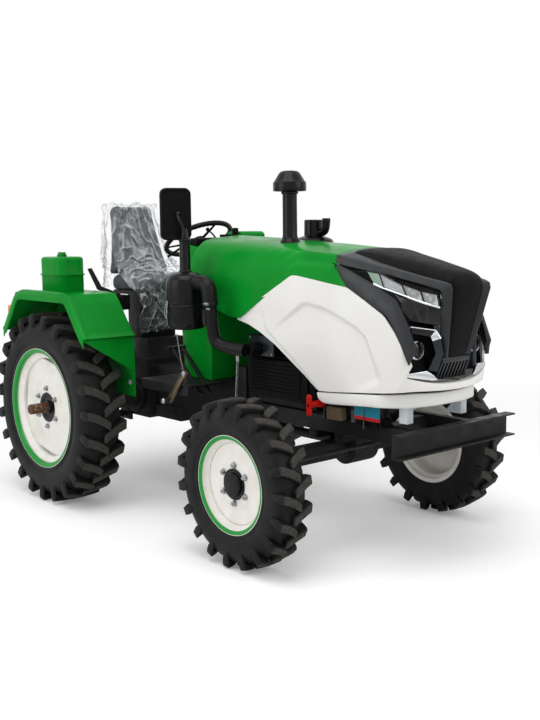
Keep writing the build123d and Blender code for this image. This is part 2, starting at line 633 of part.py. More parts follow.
# The frames round the driving lamps, from the front: half width, height.
FRAME_OUTER = [(250, 1066), (222, 1064), (136, 1048), (118, 1013), (104, 949), (126, 878), (240, 872)]
FRAME_INNER = [(252, 1040), (218, 1037), (153, 1022), (135, 950), (158, 884), (242, 884)]
FRAME_PLAN = [(576, 236), (640, 138), (664, 100), (640, 84), (600, 140), (576, 185)]
BLADE_PLAN = [(600, 258), (630, 172), (644, 119), (622, 112), (606, 160), (575, 245)]
with BuildPart() as nose_trim:
    for side in (1, -1):
        with BuildSketch(Plane.YZ.offset(520)) as ring:
            Polygon(*[(side * y, z) for y, z in FRAME_OUTER], align=None)
            Polygon(*[(side * y, z) for y, z in FRAME_INNER], align=None, mode=Mode.SUBTRACT)
        extrude(ring.sketch, amount=160, dir=(1, 0, 0))
    with BuildSketch(Plane.XY.offset(860)) as plan:
        for side in (1, -1):
            Polygon(*[(x, side * y) for x, y in FRAME_PLAN], align=None)
    extrude(plan.sketch, amount=220, dir=(0, 0, 1), mode=Mode.INTERSECT)
    for side in (1, -1):
        with BuildSketch(Plane.XY.offset(840)) as plan:
            Polygon(*[(x, side * y) for x, y in BLADE_PLAN], align=None)
        extrude(plan.sketch, amount=34, dir=(0, 0, 1))
        rod((575, side * 190, 965), (600, side * 190, 965), 42)
    add(nose_cowl.part, mode=Mode.SUBTRACT)
    add(side_panels.part, mode=Mode.SUBTRACT)
save(nose_trim.part, "nose_trim")

SLATS = 9
with BuildPart() as grille:
    block((575, 618), (-88, 88), (826, 932))
    block((618, 644), (-89, 89), (905, 929))
    for i in range(SLATS):
        block((618, 630), (-84 + 20 * i, -76 + 20 * i), (830, 905))
    add(nose_cowl.part, mode=Mode.SUBTRACT)
    add(side_panels.part, mode=Mode.SUBTRACT)
    add(nose_trim.part, mode=Mode.SUBTRACT)
save(grille.part, "grille")

STACK = (-290.0, -100.0)
STACK_PIPE, STACK_CAP = 35.0, 80.0
with BuildPart() as stack:
    rod((*STACK, 1402.5), (*STACK, 1650), STACK_PIPE)
    rod((*STACK, 1402.5), (*STACK, 1420), STACK_PIPE + 7)
    rod((*STACK, 1634), (*STACK, 1650), STACK_PIPE + 5)
    rod((*STACK, 1648), (*STACK, 1690), STACK_CAP)
    cone = []
    for height, radius in ((1690, STACK_CAP - 2), (1745, 45)):
        with BuildSketch(Plane.XY.offset(height)) as ring:
            with Locations(STACK):
                Circle(radius)
        cone.append(ring.sketch)
    loft(cone)
    add(bonnet_body.part, mode=Mode.SUBTRACT)
save(stack.part, "stack")

ELBOW = (-338.0, 100.0)
with BuildPart() as elbow:
    rod((*ELBOW, 1401), (*ELBOW, 1424), 100)
    rod((*ELBOW, 1424), (*ELBOW, 1514), 45)
    with BuildLine() as path:
        FilletPolyline((-296, 100, 1432), (-290, 100, 1475), (-235, 100, 1502), radius=24)
    with BuildSketch(Plane(origin=(-296, 100, 1432), z_dir=(6, 0, 43))) as ring:
        Circle(20)
    sweep(ring.sketch, path=path.wire())
    add(bonnet_body.part, mode=Mode.SUBTRACT)
save(elbow.part, "exhaust_elbow")

# ---------------------------------------------------------------- rear hitch
ARM_PIVOT = (LINK_PIVOT[0], LINK_PIVOT[1] + LIFT_ROD)
with BuildPart() as hitch_frame:
    for side in (1, -1):
        block((LINK_PIVOT[0] - 30, -1600), sorted((side * 172, side * 188)), (370, 430))
        rod((LINK_PIVOT[0], side * 172, 400), (LINK_PIVOT[0], side * 232, 400), 11)
    block((-1800, -1600), (-40, 40), (380, 399))
    rod((-1775, 0, 379), (-1775, 0, 400), 12.5, mode=Mode.SUBTRACT)
    for side in (1, -1):
        block((-1790, -1715), sorted((side * 22, side * 34)), (700, 790))
    rod((ARM_PIVOT[0], -173, ARM_PIVOT[1]), (ARM_PIVOT[0], 173, ARM_PIVOT[1]), 34)
    for side in (1, -1):
        rod((ARM_PIVOT[0], side * 172, ARM_PIVOT[1]), (ARM_PIVOT[0], side * 224, ARM_PIVOT[1]), 18)
    add(gearbox.part, mode=Mode.SUBTRACT)
    add(rear_axle.part, mode=Mode.SUBTRACT)
save(hitch_frame.part, "hitch_frame")

with BuildPart() as lower_links:
    for side in (1, -1):
        x0, z0 = LINK_PIVOT
        y = sorted((side * (LINK_Y - 10), side * (LINK_Y + 10)))
        block((x0 - LINK_LENGTH, x0), y, (z0 - 18, z0 + 18))
        for x in (x0, x0 - LINK_LENGTH):
            rod((x, y[0] - 5, z0), (x, y[1] + 5, z0), 23)
        rod((x0, y[0] - 6, z0), (x0, y[1] + 6, z0), 11 + PIN_GAP, mode=Mode.SUBTRACT)
        rod((x0 - LINK_LENGTH, y[0] - 6, z0), (x0 - LINK_LENGTH, y[1] + 6, z0), 11.2, mode=Mode.SUBTRACT)
        rod((x0 - LIFT_REACH, side * LINK_Y, z0), (x0 - LIFT_REACH, side * 258, z0), 9)
    rod((x0 - 420, -205, z0), (x0 - 420, 205, z0), 10)
save(lower_links.part, "lower_links")

with BuildPart() as lift_arms:
    x0, z0 = ARM_PIVOT
    for side in (1, -1):
        block((x0 - LIFT_REACH, x0), sorted((side * 198, side * 214)), (z0 - 20, z0 + 20))
        rod((x0, side * 179, z0), (x0, side * 218, z0), 36)
        rod((x0 - LIFT_REACH, side * 198, z0), (x0 - LIFT_REACH, side * 214, z0), 24)
        rod((x0 - LIFT_REACH, side * 200, z0), (x0 - LIFT_REACH, side * 258, z0), 9)
        rod((x0, side * 170, z0), (x0, side * 225, z0), 18 + PIN_GAP, mode=Mode.SUBTRACT)
save(lift_arms.part, "lift_arms")

with BuildPart() as lift_rods:
    x0, z0 = LINK_PIVOT[0] - LIFT_REACH, LINK_PIVOT[1]
    for side in (1, -1):
        rod((x0, side * 242, z0), (x0, side * 242, z0 + LIFT_ROD), 11)
        rod((x0, side * 242, z0 + 90), (x0, side * 242, z0 + 230), 16)
        for z in (z0, z0 + LIFT_ROD):
            rod((x0, side * 232, z), (x0, side * 252, z), 20)
            rod((x0, side * 230, z), (x0, side * 254, z), 9 + PIN_GAP, mode=Mode.SUBTRACT)
save(lift_rods.part, "lift_rods")

with BuildPart() as top_link:
    rod((-1765, -20, 760), (-1765, 20, 760), 18)
    rod((-1765, 0, 760), (-1800, 0, 1090), 12)
    rod((-1772, 0, 830), (-1792, 0, 1020), 18)
save(top_link.part, "top_link")

with BuildPart() as pto_shaft:
    rod((-1715.3, 0, 560), (-1790, 0, 560), 17.5)
save(pto_shaft.part, "pto_shaft")
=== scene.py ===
"""Compact farm tractor: shells, tyres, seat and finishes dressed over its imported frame.

Lengths are metres unless a name ends in _mm; long tables are in millimetres, inside metres(). While a
piece is made, x counts from the front axle, as on the drawing of the machine; Bench.settle() moves the
finished mesh to the frame's own origin.
"""

from __future__ import annotations

import json
import logging
import math
import random
import time
from dataclasses import dataclass
from enum import Enum
from typing import Callable, Iterable, Sequence

import bmesh
import bpy
from bpy.types import Material, NodeSocket, NodeTree, Object
from mathutils import Matrix, Vector, noise

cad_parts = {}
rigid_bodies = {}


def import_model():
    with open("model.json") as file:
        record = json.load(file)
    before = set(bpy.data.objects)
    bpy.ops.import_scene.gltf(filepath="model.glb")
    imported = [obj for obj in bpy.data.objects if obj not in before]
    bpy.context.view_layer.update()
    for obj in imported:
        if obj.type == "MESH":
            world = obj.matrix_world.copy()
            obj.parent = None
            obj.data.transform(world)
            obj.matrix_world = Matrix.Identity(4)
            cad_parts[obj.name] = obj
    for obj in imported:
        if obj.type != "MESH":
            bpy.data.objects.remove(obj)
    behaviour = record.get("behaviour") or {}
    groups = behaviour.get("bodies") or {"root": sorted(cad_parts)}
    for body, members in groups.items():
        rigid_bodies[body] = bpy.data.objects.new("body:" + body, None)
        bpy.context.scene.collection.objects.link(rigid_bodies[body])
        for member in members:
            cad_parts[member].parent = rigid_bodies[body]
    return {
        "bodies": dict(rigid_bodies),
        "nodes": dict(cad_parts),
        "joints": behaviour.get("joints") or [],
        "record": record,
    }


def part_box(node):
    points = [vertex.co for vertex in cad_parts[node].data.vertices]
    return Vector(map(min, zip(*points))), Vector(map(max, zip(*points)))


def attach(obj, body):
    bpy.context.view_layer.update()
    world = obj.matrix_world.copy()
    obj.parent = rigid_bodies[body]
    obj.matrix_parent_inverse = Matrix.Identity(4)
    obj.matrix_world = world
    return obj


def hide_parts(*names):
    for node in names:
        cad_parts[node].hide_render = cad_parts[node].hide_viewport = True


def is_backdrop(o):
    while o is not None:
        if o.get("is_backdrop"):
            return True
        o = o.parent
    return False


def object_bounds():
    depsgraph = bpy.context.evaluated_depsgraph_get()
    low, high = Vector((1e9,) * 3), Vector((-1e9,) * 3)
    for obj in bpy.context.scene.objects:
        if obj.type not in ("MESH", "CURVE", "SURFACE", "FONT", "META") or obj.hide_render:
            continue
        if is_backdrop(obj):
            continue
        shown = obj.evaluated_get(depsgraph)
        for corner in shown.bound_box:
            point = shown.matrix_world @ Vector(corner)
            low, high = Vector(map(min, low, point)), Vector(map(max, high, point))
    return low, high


LOG = logging.getLogger("tractor")
Point = tuple[float, float, float]
Flat = tuple[float, float]

FRONT_R = 0.375
REAR_R = 0.518
WHEELBASE = 1.565
# How near two corners of a CAD mesh are one, and under which angle in degrees two faces are one.
CAD_MERGE = 2e-5
CAD_FLAT_ANGLE = 1.0


def metres(table: Sequence[Sequence[float]]) -> tuple[tuple[float, ...], ...]:
    """Turns a table's rows from millimetres into metres."""
    return tuple(tuple(value / 1000 for value in row) for row in table)


class Side(Enum):
    """A side of the tractor, as the driver sits, by the sign of its y."""

    LEFT = 1
    RIGHT = -1

    @property
    def tag(self) -> str:
        """The side's word in node names."""
        return self.name.lower()


# ---------------------------------------------------------------- node helpers


def linear(hex_colour: str) -> tuple[float, float, float, float]:
    """Turns an sRGB hex colour into linear RGBA.

    Args:
        hex_colour: Six hex digits, with or without a leading hash.

    Returns:
        Linear red, green and blue with an alpha of 1.
    """
    digits = hex_colour.lstrip("#")
    parts = [int(digits[i : i + 2], 16) / 255 for i in (0, 2, 4)]
    turned = [c / 12.92 if c <= 0.04045 else ((c + 0.055) / 1.055) ** 2.4 for c in parts]
    return (turned[0], turned[1], turned[2], 1.0)


def add_node(tree: NodeTree, kind: str, settings: dict | None = None, **links) -> bpy.types.Node:
    """Adds a node with its settings, and sets or links its inputs.

    Args:
        tree: The node tree.
        kind: The node's type, such as "ShaderNodeMix".
        settings: Attributes to set on the node.
        **links: Inputs by name, with underscores for spaces, or as i0, i1 for their number. A value
            that is a socket is linked, and any other value is set.

    Returns:
        The new node.
    """
    node = tree.nodes.new(kind)
    for key, value in (settings or {}).items():
        setattr(node, key, value)
    for key, value in links.items():
        numbered = key[0] == "i" and key[1:].isdigit()
        socket = node.inputs[int(key[1:])] if numbered else node.inputs[key.replace("_", " ")]
        if isinstance(value, NodeSocket):
            tree.links.new(value, socket)
        else:
            socket.default_value = value
    return node


# ---------------------------------------------------------------- finishes


class Surface:
    """A new material with its principled shader, and its Object coordinates ready to read."""

    def __init__(self, name: str, roughness: float, metallic: float = 0.0, **sockets) -> None:
        """Makes the material.

        Args:
            name: The material's name.
            roughness: The shader's roughness.
            metallic: The shader's metallic value.
            **sockets: Other inputs of the shader by name, with underscores for spaces.
        """
        self.material = bpy.data.materials.new(name)
        self.material.use_nodes = True
        self.tree = self.material.node_tree
        self.tree.nodes.clear()
        self.output = add_node(self.tree, "ShaderNodeOutputMaterial")
        self.shader = add_node(
            self.tree, "ShaderNodeBsdfPrincipled", Roughness=roughness, Metallic=metallic, **sockets
        )
        self.tree.links.new(self.shader.outputs["BSDF"], self.output.inputs["Surface"])
        self.place = add_node(self.tree, "ShaderNodeTexCoord").outputs["Object"]

    def noise(self, size_mm: float, detail: float = 2.0, rough: float = 0.5) -> NodeSocket:
        """Returns a noise whose lumps are about size_mm across."""
        made = add_node(
            self.tree, "ShaderNodeTexNoise", Vector=self.place, Scale=1000 / size_mm, Detail=detail, Roughness=rough
        )
        return made.outputs[0]

    def spread(self, value: NodeSocket, low: float, high: float, start: float = 0.3, end: float = 0.7):
        """Returns value's stretch from start to end, turned to run from low to high."""
        made = add_node(self.tree, "ShaderNodeMapRange", Value=value, i1=start, i2=end, i3=low, i4=high)
        return made.outputs[0]

    def blend(self, share: NodeSocket | float, first, second) -> NodeSocket:
        """Returns a mix of two colours, each a hex string or a socket."""
        made = add_node(self.tree, "ShaderNodeMix", {"data_type": "RGBA"}, i0=share)
        for number, colour in ((6, first), (7, second)):
            if isinstance(colour, str):
                made.inputs[number].default_value = linear(colour)
            else:
                self.tree.links.new(colour, made.inputs[number])
        return made.outputs[2]

    def patches(
        self, colour, shade, size_mm: float, detail: float = 2.0, rough: float = 0.5, most: float = 1.0
    ) -> NodeSocket:
        """Returns a colour with patches of a shade about size_mm across, most being the shade's largest share."""
        return self.blend(self.spread(self.noise(size_mm, detail, rough), 0.0, most), colour, shade)

    def wear(self, roughness: float, below: float, above: float, size_mm: float, detail: float = 2.0) -> None:
        """Varies the roughness in patches, from below under its own value to above over it."""
        self.feed("Roughness", self.spread(self.noise(size_mm, detail), roughness - below, roughness + above))

    def maths(self, kind: str, first, second=0.0) -> NodeSocket:
        """Returns the result of one Math node."""
        return add_node(self.tree, "ShaderNodeMath", {"operation": kind}, i0=first, i1=second).outputs[0]

    def bump(self, height: NodeSocket, depth_mm: float, strength: float = 1.0) -> None:
        """Adds a bump of depth_mm, over any bump that the shader has already."""
        links = {"Height": height, "Strength": strength, "Distance": depth_mm / 1000}
        if self.shader.inputs["Normal"].links:
            links["Normal"] = self.shader.inputs["Normal"].links[0].from_socket
        made = add_node(self.tree, "ShaderNodeBump", **links)
        self.tree.links.new(made.outputs[0], self.shader.inputs["Normal"])

    def feed(self, socket: str, value: NodeSocket) -> None:
        """Links a value to one of the shader's inputs."""
        self.tree.links.new(value, self.shader.inputs[socket])

    def radius(self, x: float, z: float) -> NodeSocket:
        """Returns the distance from an axle along Y through (x, z), in metres."""
        made = add_node(self.tree, "ShaderNodeMapping", Vector=self.place, Location=(-x, 0, -z), Scale=(1, 0, 1))
        return add_node(self.tree, "ShaderNodeVectorMath", {"operation": "LENGTH"}, i0=made.outputs[0]).outputs["Value"]


@dataclass(frozen=True)
class Enamel:
    """Sprayed gloss enamel on sheet steel: an even colour, a clear gloss and a faint orange peel."""

    name: str
    colour: str
    shade: str
    roughness: float = 0.26
    coat: float = 0.03
    gloss: float = 0.06
    patch_mm: float = 260.0
    peel_mm: float = 9.0
    peel_depth_mm: float = 0.05

    def build(self) -> Material:
        """Returns the material."""
        s = Surface(
            self.name, self.roughness, Specular_IOR_Level=self.gloss, Coat_Weight=self.coat, Coat_Roughness=0.08
        )
        s.feed("Base Color", s.patches(self.colour, self.shade, self.patch_mm))
        s.wear(self.roughness, 0.05, 0.07, 70.0, 3.0)
        s.bump(s.noise(self.peel_mm, 1.0), self.peel_depth_mm)
        return s.material


@dataclass(frozen=True)
class MouldedPlastic:
    """Injection-moulded ABS or polypropylene: a fine spark-eroded grain and a soft sheen."""

    name: str
    colour: str
    shade: str
    roughness: float = 0.42
    gloss: float = 0.18
    patch_mm: float = 120.0
    grain_mm: float = 2.2
    grain_depth_mm: float = 0.06

    def build(self) -> Material:
        """Returns the material."""
        s = Surface(self.name, self.roughness, Specular_IOR_Level=self.gloss)
        s.feed("Base Color", s.patches(self.colour, self.shade, self.patch_mm, 3.0))
        s.wear(self.roughness, 0.05, 0.08, 40.0)
        s.bump(s.noise(self.grain_mm, 1.0), self.grain_depth_mm)
        return s.material


@dataclass(frozen=True)
class ChassisBlack:
    """Black chassis paint over castings and plate: satin, with the casting's skin under it and some dust."""

    name: str
    colour: str = "121315"
    dust: str = "302E2B"
    roughness: float = 0.45
    gloss: float = 0.16
    skin_mm: float = 5.0
    skin_depth_mm: float = 0.25
    dust_mm: float = 90.0
    dust_share: float = 0.35

    def build(self) -> Material:
        """Returns the material."""
        s = Surface(self.name, self.roughness, Specular_IOR_Level=self.gloss)
        s.feed("Base Color", s.patches(self.colour, self.dust, self.dust_mm, 5.0, 0.65, self.dust_share))
        s.wear(self.roughness, 0.12, 0.15, 60.0, 3.0)
        s.bump(s.noise(self.skin_mm, 3.0), self.skin_depth_mm)
        return s.material


@dataclass(frozen=True)
class TreadRubber:
    """Vulcanised tyre rubber: dark and slightly blue in the carcass, worn and dusty on the lugs' faces."""

    name: str
    tip_r: float
    axle_x: float
    carcass: str = "131416"
    face: str = "2F2E2C"
    dust: str = "4A4742"

    def build(self) -> Material:
        """Returns the material."""
        s = Surface(self.name, 0.62, Specular_IOR_Level=0.1)
        r = s.radius(self.axle_x, self.tip_r)
        on_face = s.spread(r, 0.0, 1.0, self.tip_r - 0.012, self.tip_r - 0.005)
        worn = s.patches(self.face, self.dust, 14.0, 4.0, 0.7)
        side = s.patches(self.carcass, self.face, 110.0, 4.0, most=0.5)
        s.feed("Base Color", s.blend(on_face, side, worn))
        s.feed("Roughness", s.spread(on_face, 0.45, 0.82, 0.0, 1.0))
        s.bump(s.noise(3.0, 3.0), 0.25)
        return s.material


@dataclass(frozen=True)
class WheelEnamel:
    """White wheel enamel with a green band sprayed on the flange, inside a thin white edge."""

    name: str
    flange_r: float
    axle_x: float
    tip_r: float
    band_mm: float = 17.0
    edge_mm: float = 3.5
    middle_y: float = 0.665
    white: str = "EAE8E4"
    warm: str = "DDD8CF"
    green: str = "088A2E"

    def build(self) -> Material:
        """Returns the material."""
        s = Surface(self.name, 0.3, Specular_IOR_Level=0.25, Coat_Weight=0.1, Coat_Roughness=0.15)
        r = s.radius(self.axle_x, self.tip_r)
        edge = self.flange_r - self.edge_mm / 1000
        inner = s.spread(r, 0.0, 1.0, edge - self.band_mm / 1000 - 0.001, edge - self.band_mm / 1000 + 0.001)
        outer = s.spread(r, 1.0, 0.0, edge - 0.0007, edge + 0.0007)
        white = s.patches(self.white, self.warm, 70.0, 4.0, most=0.8)
        aside = s.maths("ABSOLUTE", add_node(s.tree, "ShaderNodeSeparateXYZ", Vector=s.place).outputs["Y"])
        outside = s.spread(aside, 0.0, 1.0, self.middle_y, self.middle_y + 0.001)
        band = s.maths("MULTIPLY", s.maths("MULTIPLY", inner, outer), outside)
        s.feed("Base Color", s.blend(band, white, self.green))
        s.bump(s.noise(10.0, 1.0), 0.06)
        return s.material


@dataclass(frozen=True)
class BrightMetal:
    """Plated or bare metal: zinc-plated bolts, satin chrome mouldings, turned steel."""

    name: str
    colour: str
    shade: str
    roughness: float = 0.3
    grain_mm: float = 12.0

    def build(self) -> Material:
        """Returns the material."""
        s = Surface(self.name, self.roughness, metallic=1.0)
        s.feed("Base Color", s.patches(self.colour, self.shade, self.grain_mm, 4.0))
        s.wear(self.roughness, 0.08, 0.12, self.grain_mm / 2, 3.0)
        return s.material


@dataclass(frozen=True)
class RustedSteel:
    """A bare steel shaft end that has browned in storage, with brighter worn spots."""

    name: str
    rust: str = "6B3F22"
    dark: str = "3A2418"
    steel: str = "8C8780"

    def build(self) -> Material:
        """Returns the material."""
        s = Surface(self.name, 0.6, metallic=0.35)
        brown = s.patches(self.rust, self.dark, 9.0, 5.0, 0.7)
        s.feed("Base Color", s.blend(s.spread(s.noise(22.0, 5.0), 0.0, 1.0, 0.55, 0.75), brown, self.steel))
        s.bump(s.noise(2.5, 4.0), 0.2)
        return s.material


@dataclass(frozen=True)
class SeatVinyl:
    """Grained upholstery vinyl: a soft leather grain with a dull sheen."""

    name: str
    colour: str = "2F3338"
    shade: str = "24272B"
    grain_mm: float = 4.0

    def build(self) -> Material:
        """Returns the material."""
        s = Surface(self.name, 0.5)
        cells = add_node(
            s.tree, "ShaderNodeTexVoronoi", {"feature": "DISTANCE_TO_EDGE"}, Vector=s.place, Scale=1000 / self.grain_mm
        )
        s.feed("Base Color", s.patches(self.colour, self.shade, 60.0, 3.0))
        s.bump(s.spread(cells.outputs[0], 0.0, 1.0, 0.0, 0.12), 0.12)
        return s.material


@dataclass(frozen=True)
class ClearFilm:
    """Thin polythene packing film: nearly clear face on, milky and bright where it creases."""

    name: str
    haze: float = 0.2
    most: float = 0.85
    clear: str = "F2F5F8"
    milky: str = "D2D9DF"

    def build(self) -> Material:
        """Returns the material."""
        s = Surface(self.name, 0.18, Specular_IOR_Level=0.8)
        facing = add_node(s.tree, "ShaderNodeLayerWeight", Blend=0.4).outputs["Facing"]
        s.feed("Base Color", s.patches(self.clear, self.milky, 40.0, 3.0))
        edge_on = s.spread(facing, self.haze * 0.4, self.most, 0.15, 0.95)
        total = s.maths("ADD", edge_on, s.spread(s.noise(60.0, 4.0, 0.6), 0.0, 0.3, 0.52, 0.72))
        s.feed("Alpha", s.maths("MINIMUM", total, self.most))
        s.bump(s.noise(14.0, 3.0), 0.8)
        return s.material


@dataclass(frozen=True)
class ClearLens:
    """Clear polycarbonate over lamps: smooth, colourless and lightly tinted."""

    name: str
    tint: str = "F4F7F8"
    alpha: float = 0.22

    def build(self) -> Material:
        """Returns the material."""
        s = Surface(self.name, 0.04, Coat_Weight=0.4)
        s.shader.inputs["Base Color"].default_value = linear(self.tint)
        edge = add_node(s.tree, "ShaderNodeFresnel", IOR=1.5).outputs[0]
        s.feed("Alpha", s.spread(edge, self.alpha, 0.9, 0.03, 0.7))
        return s.material


@dataclass(frozen=True)
class BatteryCase:
    """A battery's glossy label: a teal field over a red band along its foot, both bare of print."""

    name: str
    band_z: float
    field_colour: str = "1D7A90"
    red: str = "B3242B"

    def build(self) -> Material:
        """Returns the material."""
        s = Surface(self.name, 0.3)
        height = add_node(s.tree, "ShaderNodeSeparateXYZ", Vector=s.place).outputs["Z"]
        share = s.spread(height, 0.0, 1.0, self.band_z - 0.0005, self.band_z + 0.0005)
        s.feed("Base Color", s.blend(share, self.red, self.field_colour))
        s.bump(s.noise(12.0), 0.05)
        return s.material


class Finishes:
    """Every finish on the tractor, made once."""

    def __init__(self, axle_x: float) -> None:
        """Builds the materials.

        Args:
            axle_x: The front axle's x in the row frame.
        """
        rear_x = axle_x - WHEELBASE
        made = (
            Enamel("green_enamel", "0A8A2A", "077A22"),
            Enamel("white_gelcoat", "E9E8E5", "E2E0DC", roughness=0.3),
            Enamel("white_post_enamel", "DCE4E7", "CFD8DB", roughness=0.38),
            MouldedPlastic("satin_grey_abs", "26282C", "222427", roughness=0.32, gloss=0.3),
            MouldedPlastic("matt_black_abs", "0C0D0E", "0A0B0B", roughness=0.5, gloss=0.07, grain_depth_mm=0.12),
            MouldedPlastic("gloss_black_abs", "0D0E10", "0A0A0B", roughness=0.16, gloss=0.35, grain_depth_mm=0.01),
            MouldedPlastic("red_plastic", "C4150F", "A8100C", roughness=0.3),
            MouldedPlastic("tan_plastic", "6E5F48", "5A4D3A", roughness=0.5),
            MouldedPlastic("hose_rubber", "0C0C0D", "121211", roughness=0.36, gloss=0.16),
            MouldedPlastic("amber_lens", "E08A10", "C56A08", roughness=0.15),
            ChassisBlack("chassis_black"),
            ChassisBlack(
                "canister_black", "0B0B0D", "151413", roughness=0.24, gloss=0.18, skin_mm=9.0, skin_depth_mm=0.04
            ),
            ChassisBlack("engine_black", "141517", "34312D", roughness=0.55, skin_mm=7.0, skin_depth_mm=0.5),
            TreadRubber("front_tread_rubber", FRONT_R, axle_x),
            TreadRubber("rear_tread_rubber", REAR_R, rear_x),
            WheelEnamel("front_wheel_enamel", 0.220, axle_x, FRONT_R),
            WheelEnamel("rear_wheel_enamel", 0.327, rear_x, REAR_R, band_mm=24.0),
            BrightMetal("zinc_plate", "B9BABC", "8E9094", roughness=0.35),
            BrightMetal("satin_chrome", "E3E5E8", "D2D5D9", roughness=0.14, grain_mm=120.0),
            BrightMetal("gunmetal", "3C3F44", "33363A", roughness=0.35, grain_mm=90.0),
            # The lamp bowls' brownish gold colour is painted reflection, and its darker brown is painted shade in the
            # lamp's cells.
            BrightMetal("reflector", "C2BBA9", "8E8678", roughness=0.12, grain_mm=45.0),
            BrightMetal("silver_paint", "8C8F94", "74777C", roughness=0.34),
            BrightMetal("passivated_zinc", "7D6E57", "5C4F3F", roughness=0.42),
            BrightMetal("mirror_glass", "E8ECEF", "E8ECEF", roughness=0.03),
            RustedSteel("rusted_steel"),
            SeatVinyl("seat_vinyl"),
            ClearFilm("clear_film"),
            ClearLens("clear_lens"),
            ClearLens("clear_glass", "FFFFFF", 0.6),
            ClearLens("green_lens", "A9C9B4", 0.5),
            BatteryCase("battery_case", 0.6600),
        )
        self.by_name = {finish.name: finish.build() for finish in made}
        LOG.info("%d finishes", len(self.by_name))

    def __getitem__(self, name: str) -> Material:
        """Returns a material by its finish's name."""
        return self.by_name[name]


# ---------------------------------------------------------------- making and settling meshes


def placed(name: str, data: bpy.types.ID) -> Object:
    """Makes an object of some data and links it to the scene."""
    made = bpy.data.objects.new(name, data)
    bpy.context.scene.collection.objects.link(made)
    return made


def painted(made: Object, finish: Material) -> Object:
    """Gives a mesh one material and returns it."""
    made.data.materials.clear()
    made.data.materials.append(finish)
    return made


def fresh(name: str, verts: Sequence[Point], faces: Sequence[Sequence[int]]) -> Object:
    """Makes a mesh object from its corners and faces, with its faces turned outwards.

    Args:
        name: The piece's name.
        verts: Its corners.
        faces: Its faces, as lists of corner numbers.

    Returns:
        The object, linked to the scene.
    """
    mesh = bpy.data.meshes.new(name)
    mesh.from_pydata([tuple(v) for v in verts], [], [list(f) for f in faces])
    return tidy_normals(placed(name, mesh))


def tidy_normals(made: Object, merge: float = 1e-5) -> Object:
    """Merges doubled corners and turns the faces outwards."""
    work = bmesh.new()
    work.from_mesh(made.data)
    bmesh.ops.remove_doubles(work, verts=work.verts, dist=merge)
    bmesh.ops.recalc_face_normals(work, faces=work.faces)
    work.to_mesh(made.data)
    work.free()
    return made


def baked(made: Object) -> Object:
    """Turns an object's live modifiers, or its curve, into a plain mesh, and returns the object that holds it."""
    bpy.context.view_layer.update()
    graph = bpy.context.evaluated_depsgraph_get()
    mesh = bpy.data.meshes.new_from_object(made.evaluated_get(graph), preserve_all_data_layers=True, depsgraph=graph)
    if made.type == "MESH":
        made.modifiers.clear()
        made.data = mesh
        return made
    name = made.name
    bpy.data.objects.remove(made)
    return placed(name, mesh)


def shaded(made: Object, angle: float = 35.0) -> Object:
    """Shades a mesh smooth, but for edges sharper than the angle in degrees."""
    made.data.shade_smooth()
    made.data.set_sharp_from_angle(angle=math.radians(angle))
    return made


def bevelled(made: Object, width: float, segments: int = 2, angle: float = 28.0) -> Object:
    """Rounds an object's edges that are sharper than the angle, and bakes the result."""
    modifier = made.modifiers.new("rounded", "BEVEL")
    modifier.width = width
    modifier.segments = segments
    modifier.limit_method = "ANGLE"
    modifier.angle_limit = math.radians(angle)
    modifier.harden_normals = False
    modifier.use_clamp_overlap = True
    return baked(made)


def subdivided(made: Object) -> Object:
    """Subdivides a mesh once, smoothly, and bakes the result."""
    finer = made.modifiers.new("finer", "SUBSURF")
    finer.levels = finer.render_levels = 1
    return baked(made)


def joined(name: str, pieces: Sequence[Object]) -> Object:
    """Joins meshes into the first of them, under a new name."""
    first = pieces[0]
    work = bmesh.new()
    slots: list[Material] = []
    for piece in pieces:
        for slot in piece.data.materials:
            if slot not in slots:
                slots.append(slot)
    for piece in pieces:
        before = len(work.faces)
        work.from_mesh(piece.data)
        work.faces.ensure_lookup_table()
        turn = [slots.index(m) for m in piece.data.materials]
        for face in work.faces[before:]:
            face.material_index = turn[face.material_index] if turn else 0
    first.data.materials.clear()
    for slot in slots:
        first.data.materials.append(slot)
    work.to_mesh(first.data)
    work.free()
    for piece in pieces[1:]:
        bpy.data.objects.remove(piece)
    first.name = name
    return first


def prism(name: str, outline: Sequence[Flat], low: float, high: float, across: str = "y") -> Object:
    """Makes a prism of a flat outline.

    Args:
        name: The piece's name.
        outline: Corners as (x, z) for across "y", (x, y) for "z" and (y, z) for "x".
        low: Where the prism starts along its axis.
        high: Where it ends.
        across: The prism's axis.

    Returns:
        The prism.
    """
    turn: dict[str, Callable[[Flat, float], Point]] = {
        "y": lambda p, v: (p[0], v, p[1]),
        "z": lambda p, v: (p[0], p[1], v),
        "x": lambda p, v: (v, p[0], p[1]),
    }
    count = len(outline)
    verts = [turn[across](p, v) for v in (low, high) for p in outline]
    sides = [(i, (i + 1) % count, (i + 1) % count + count, i + count) for i in range(count)]
    return fresh(name, verts, [tuple(range(count)), tuple(range(count, 2 * count))] + sides)


def brick(name: str, x: Flat, y: Flat, z: Flat, rounding: float = 0.003) -> Object:
    """Makes a box from its limits on each axis, with rounded edges."""
    made = prism(name, [(x[0], z[0]), (x[1], z[0]), (x[1], z[1]), (x[0], z[1])], y[0], y[1])
    return bevelled(made, rounding) if rounding else made


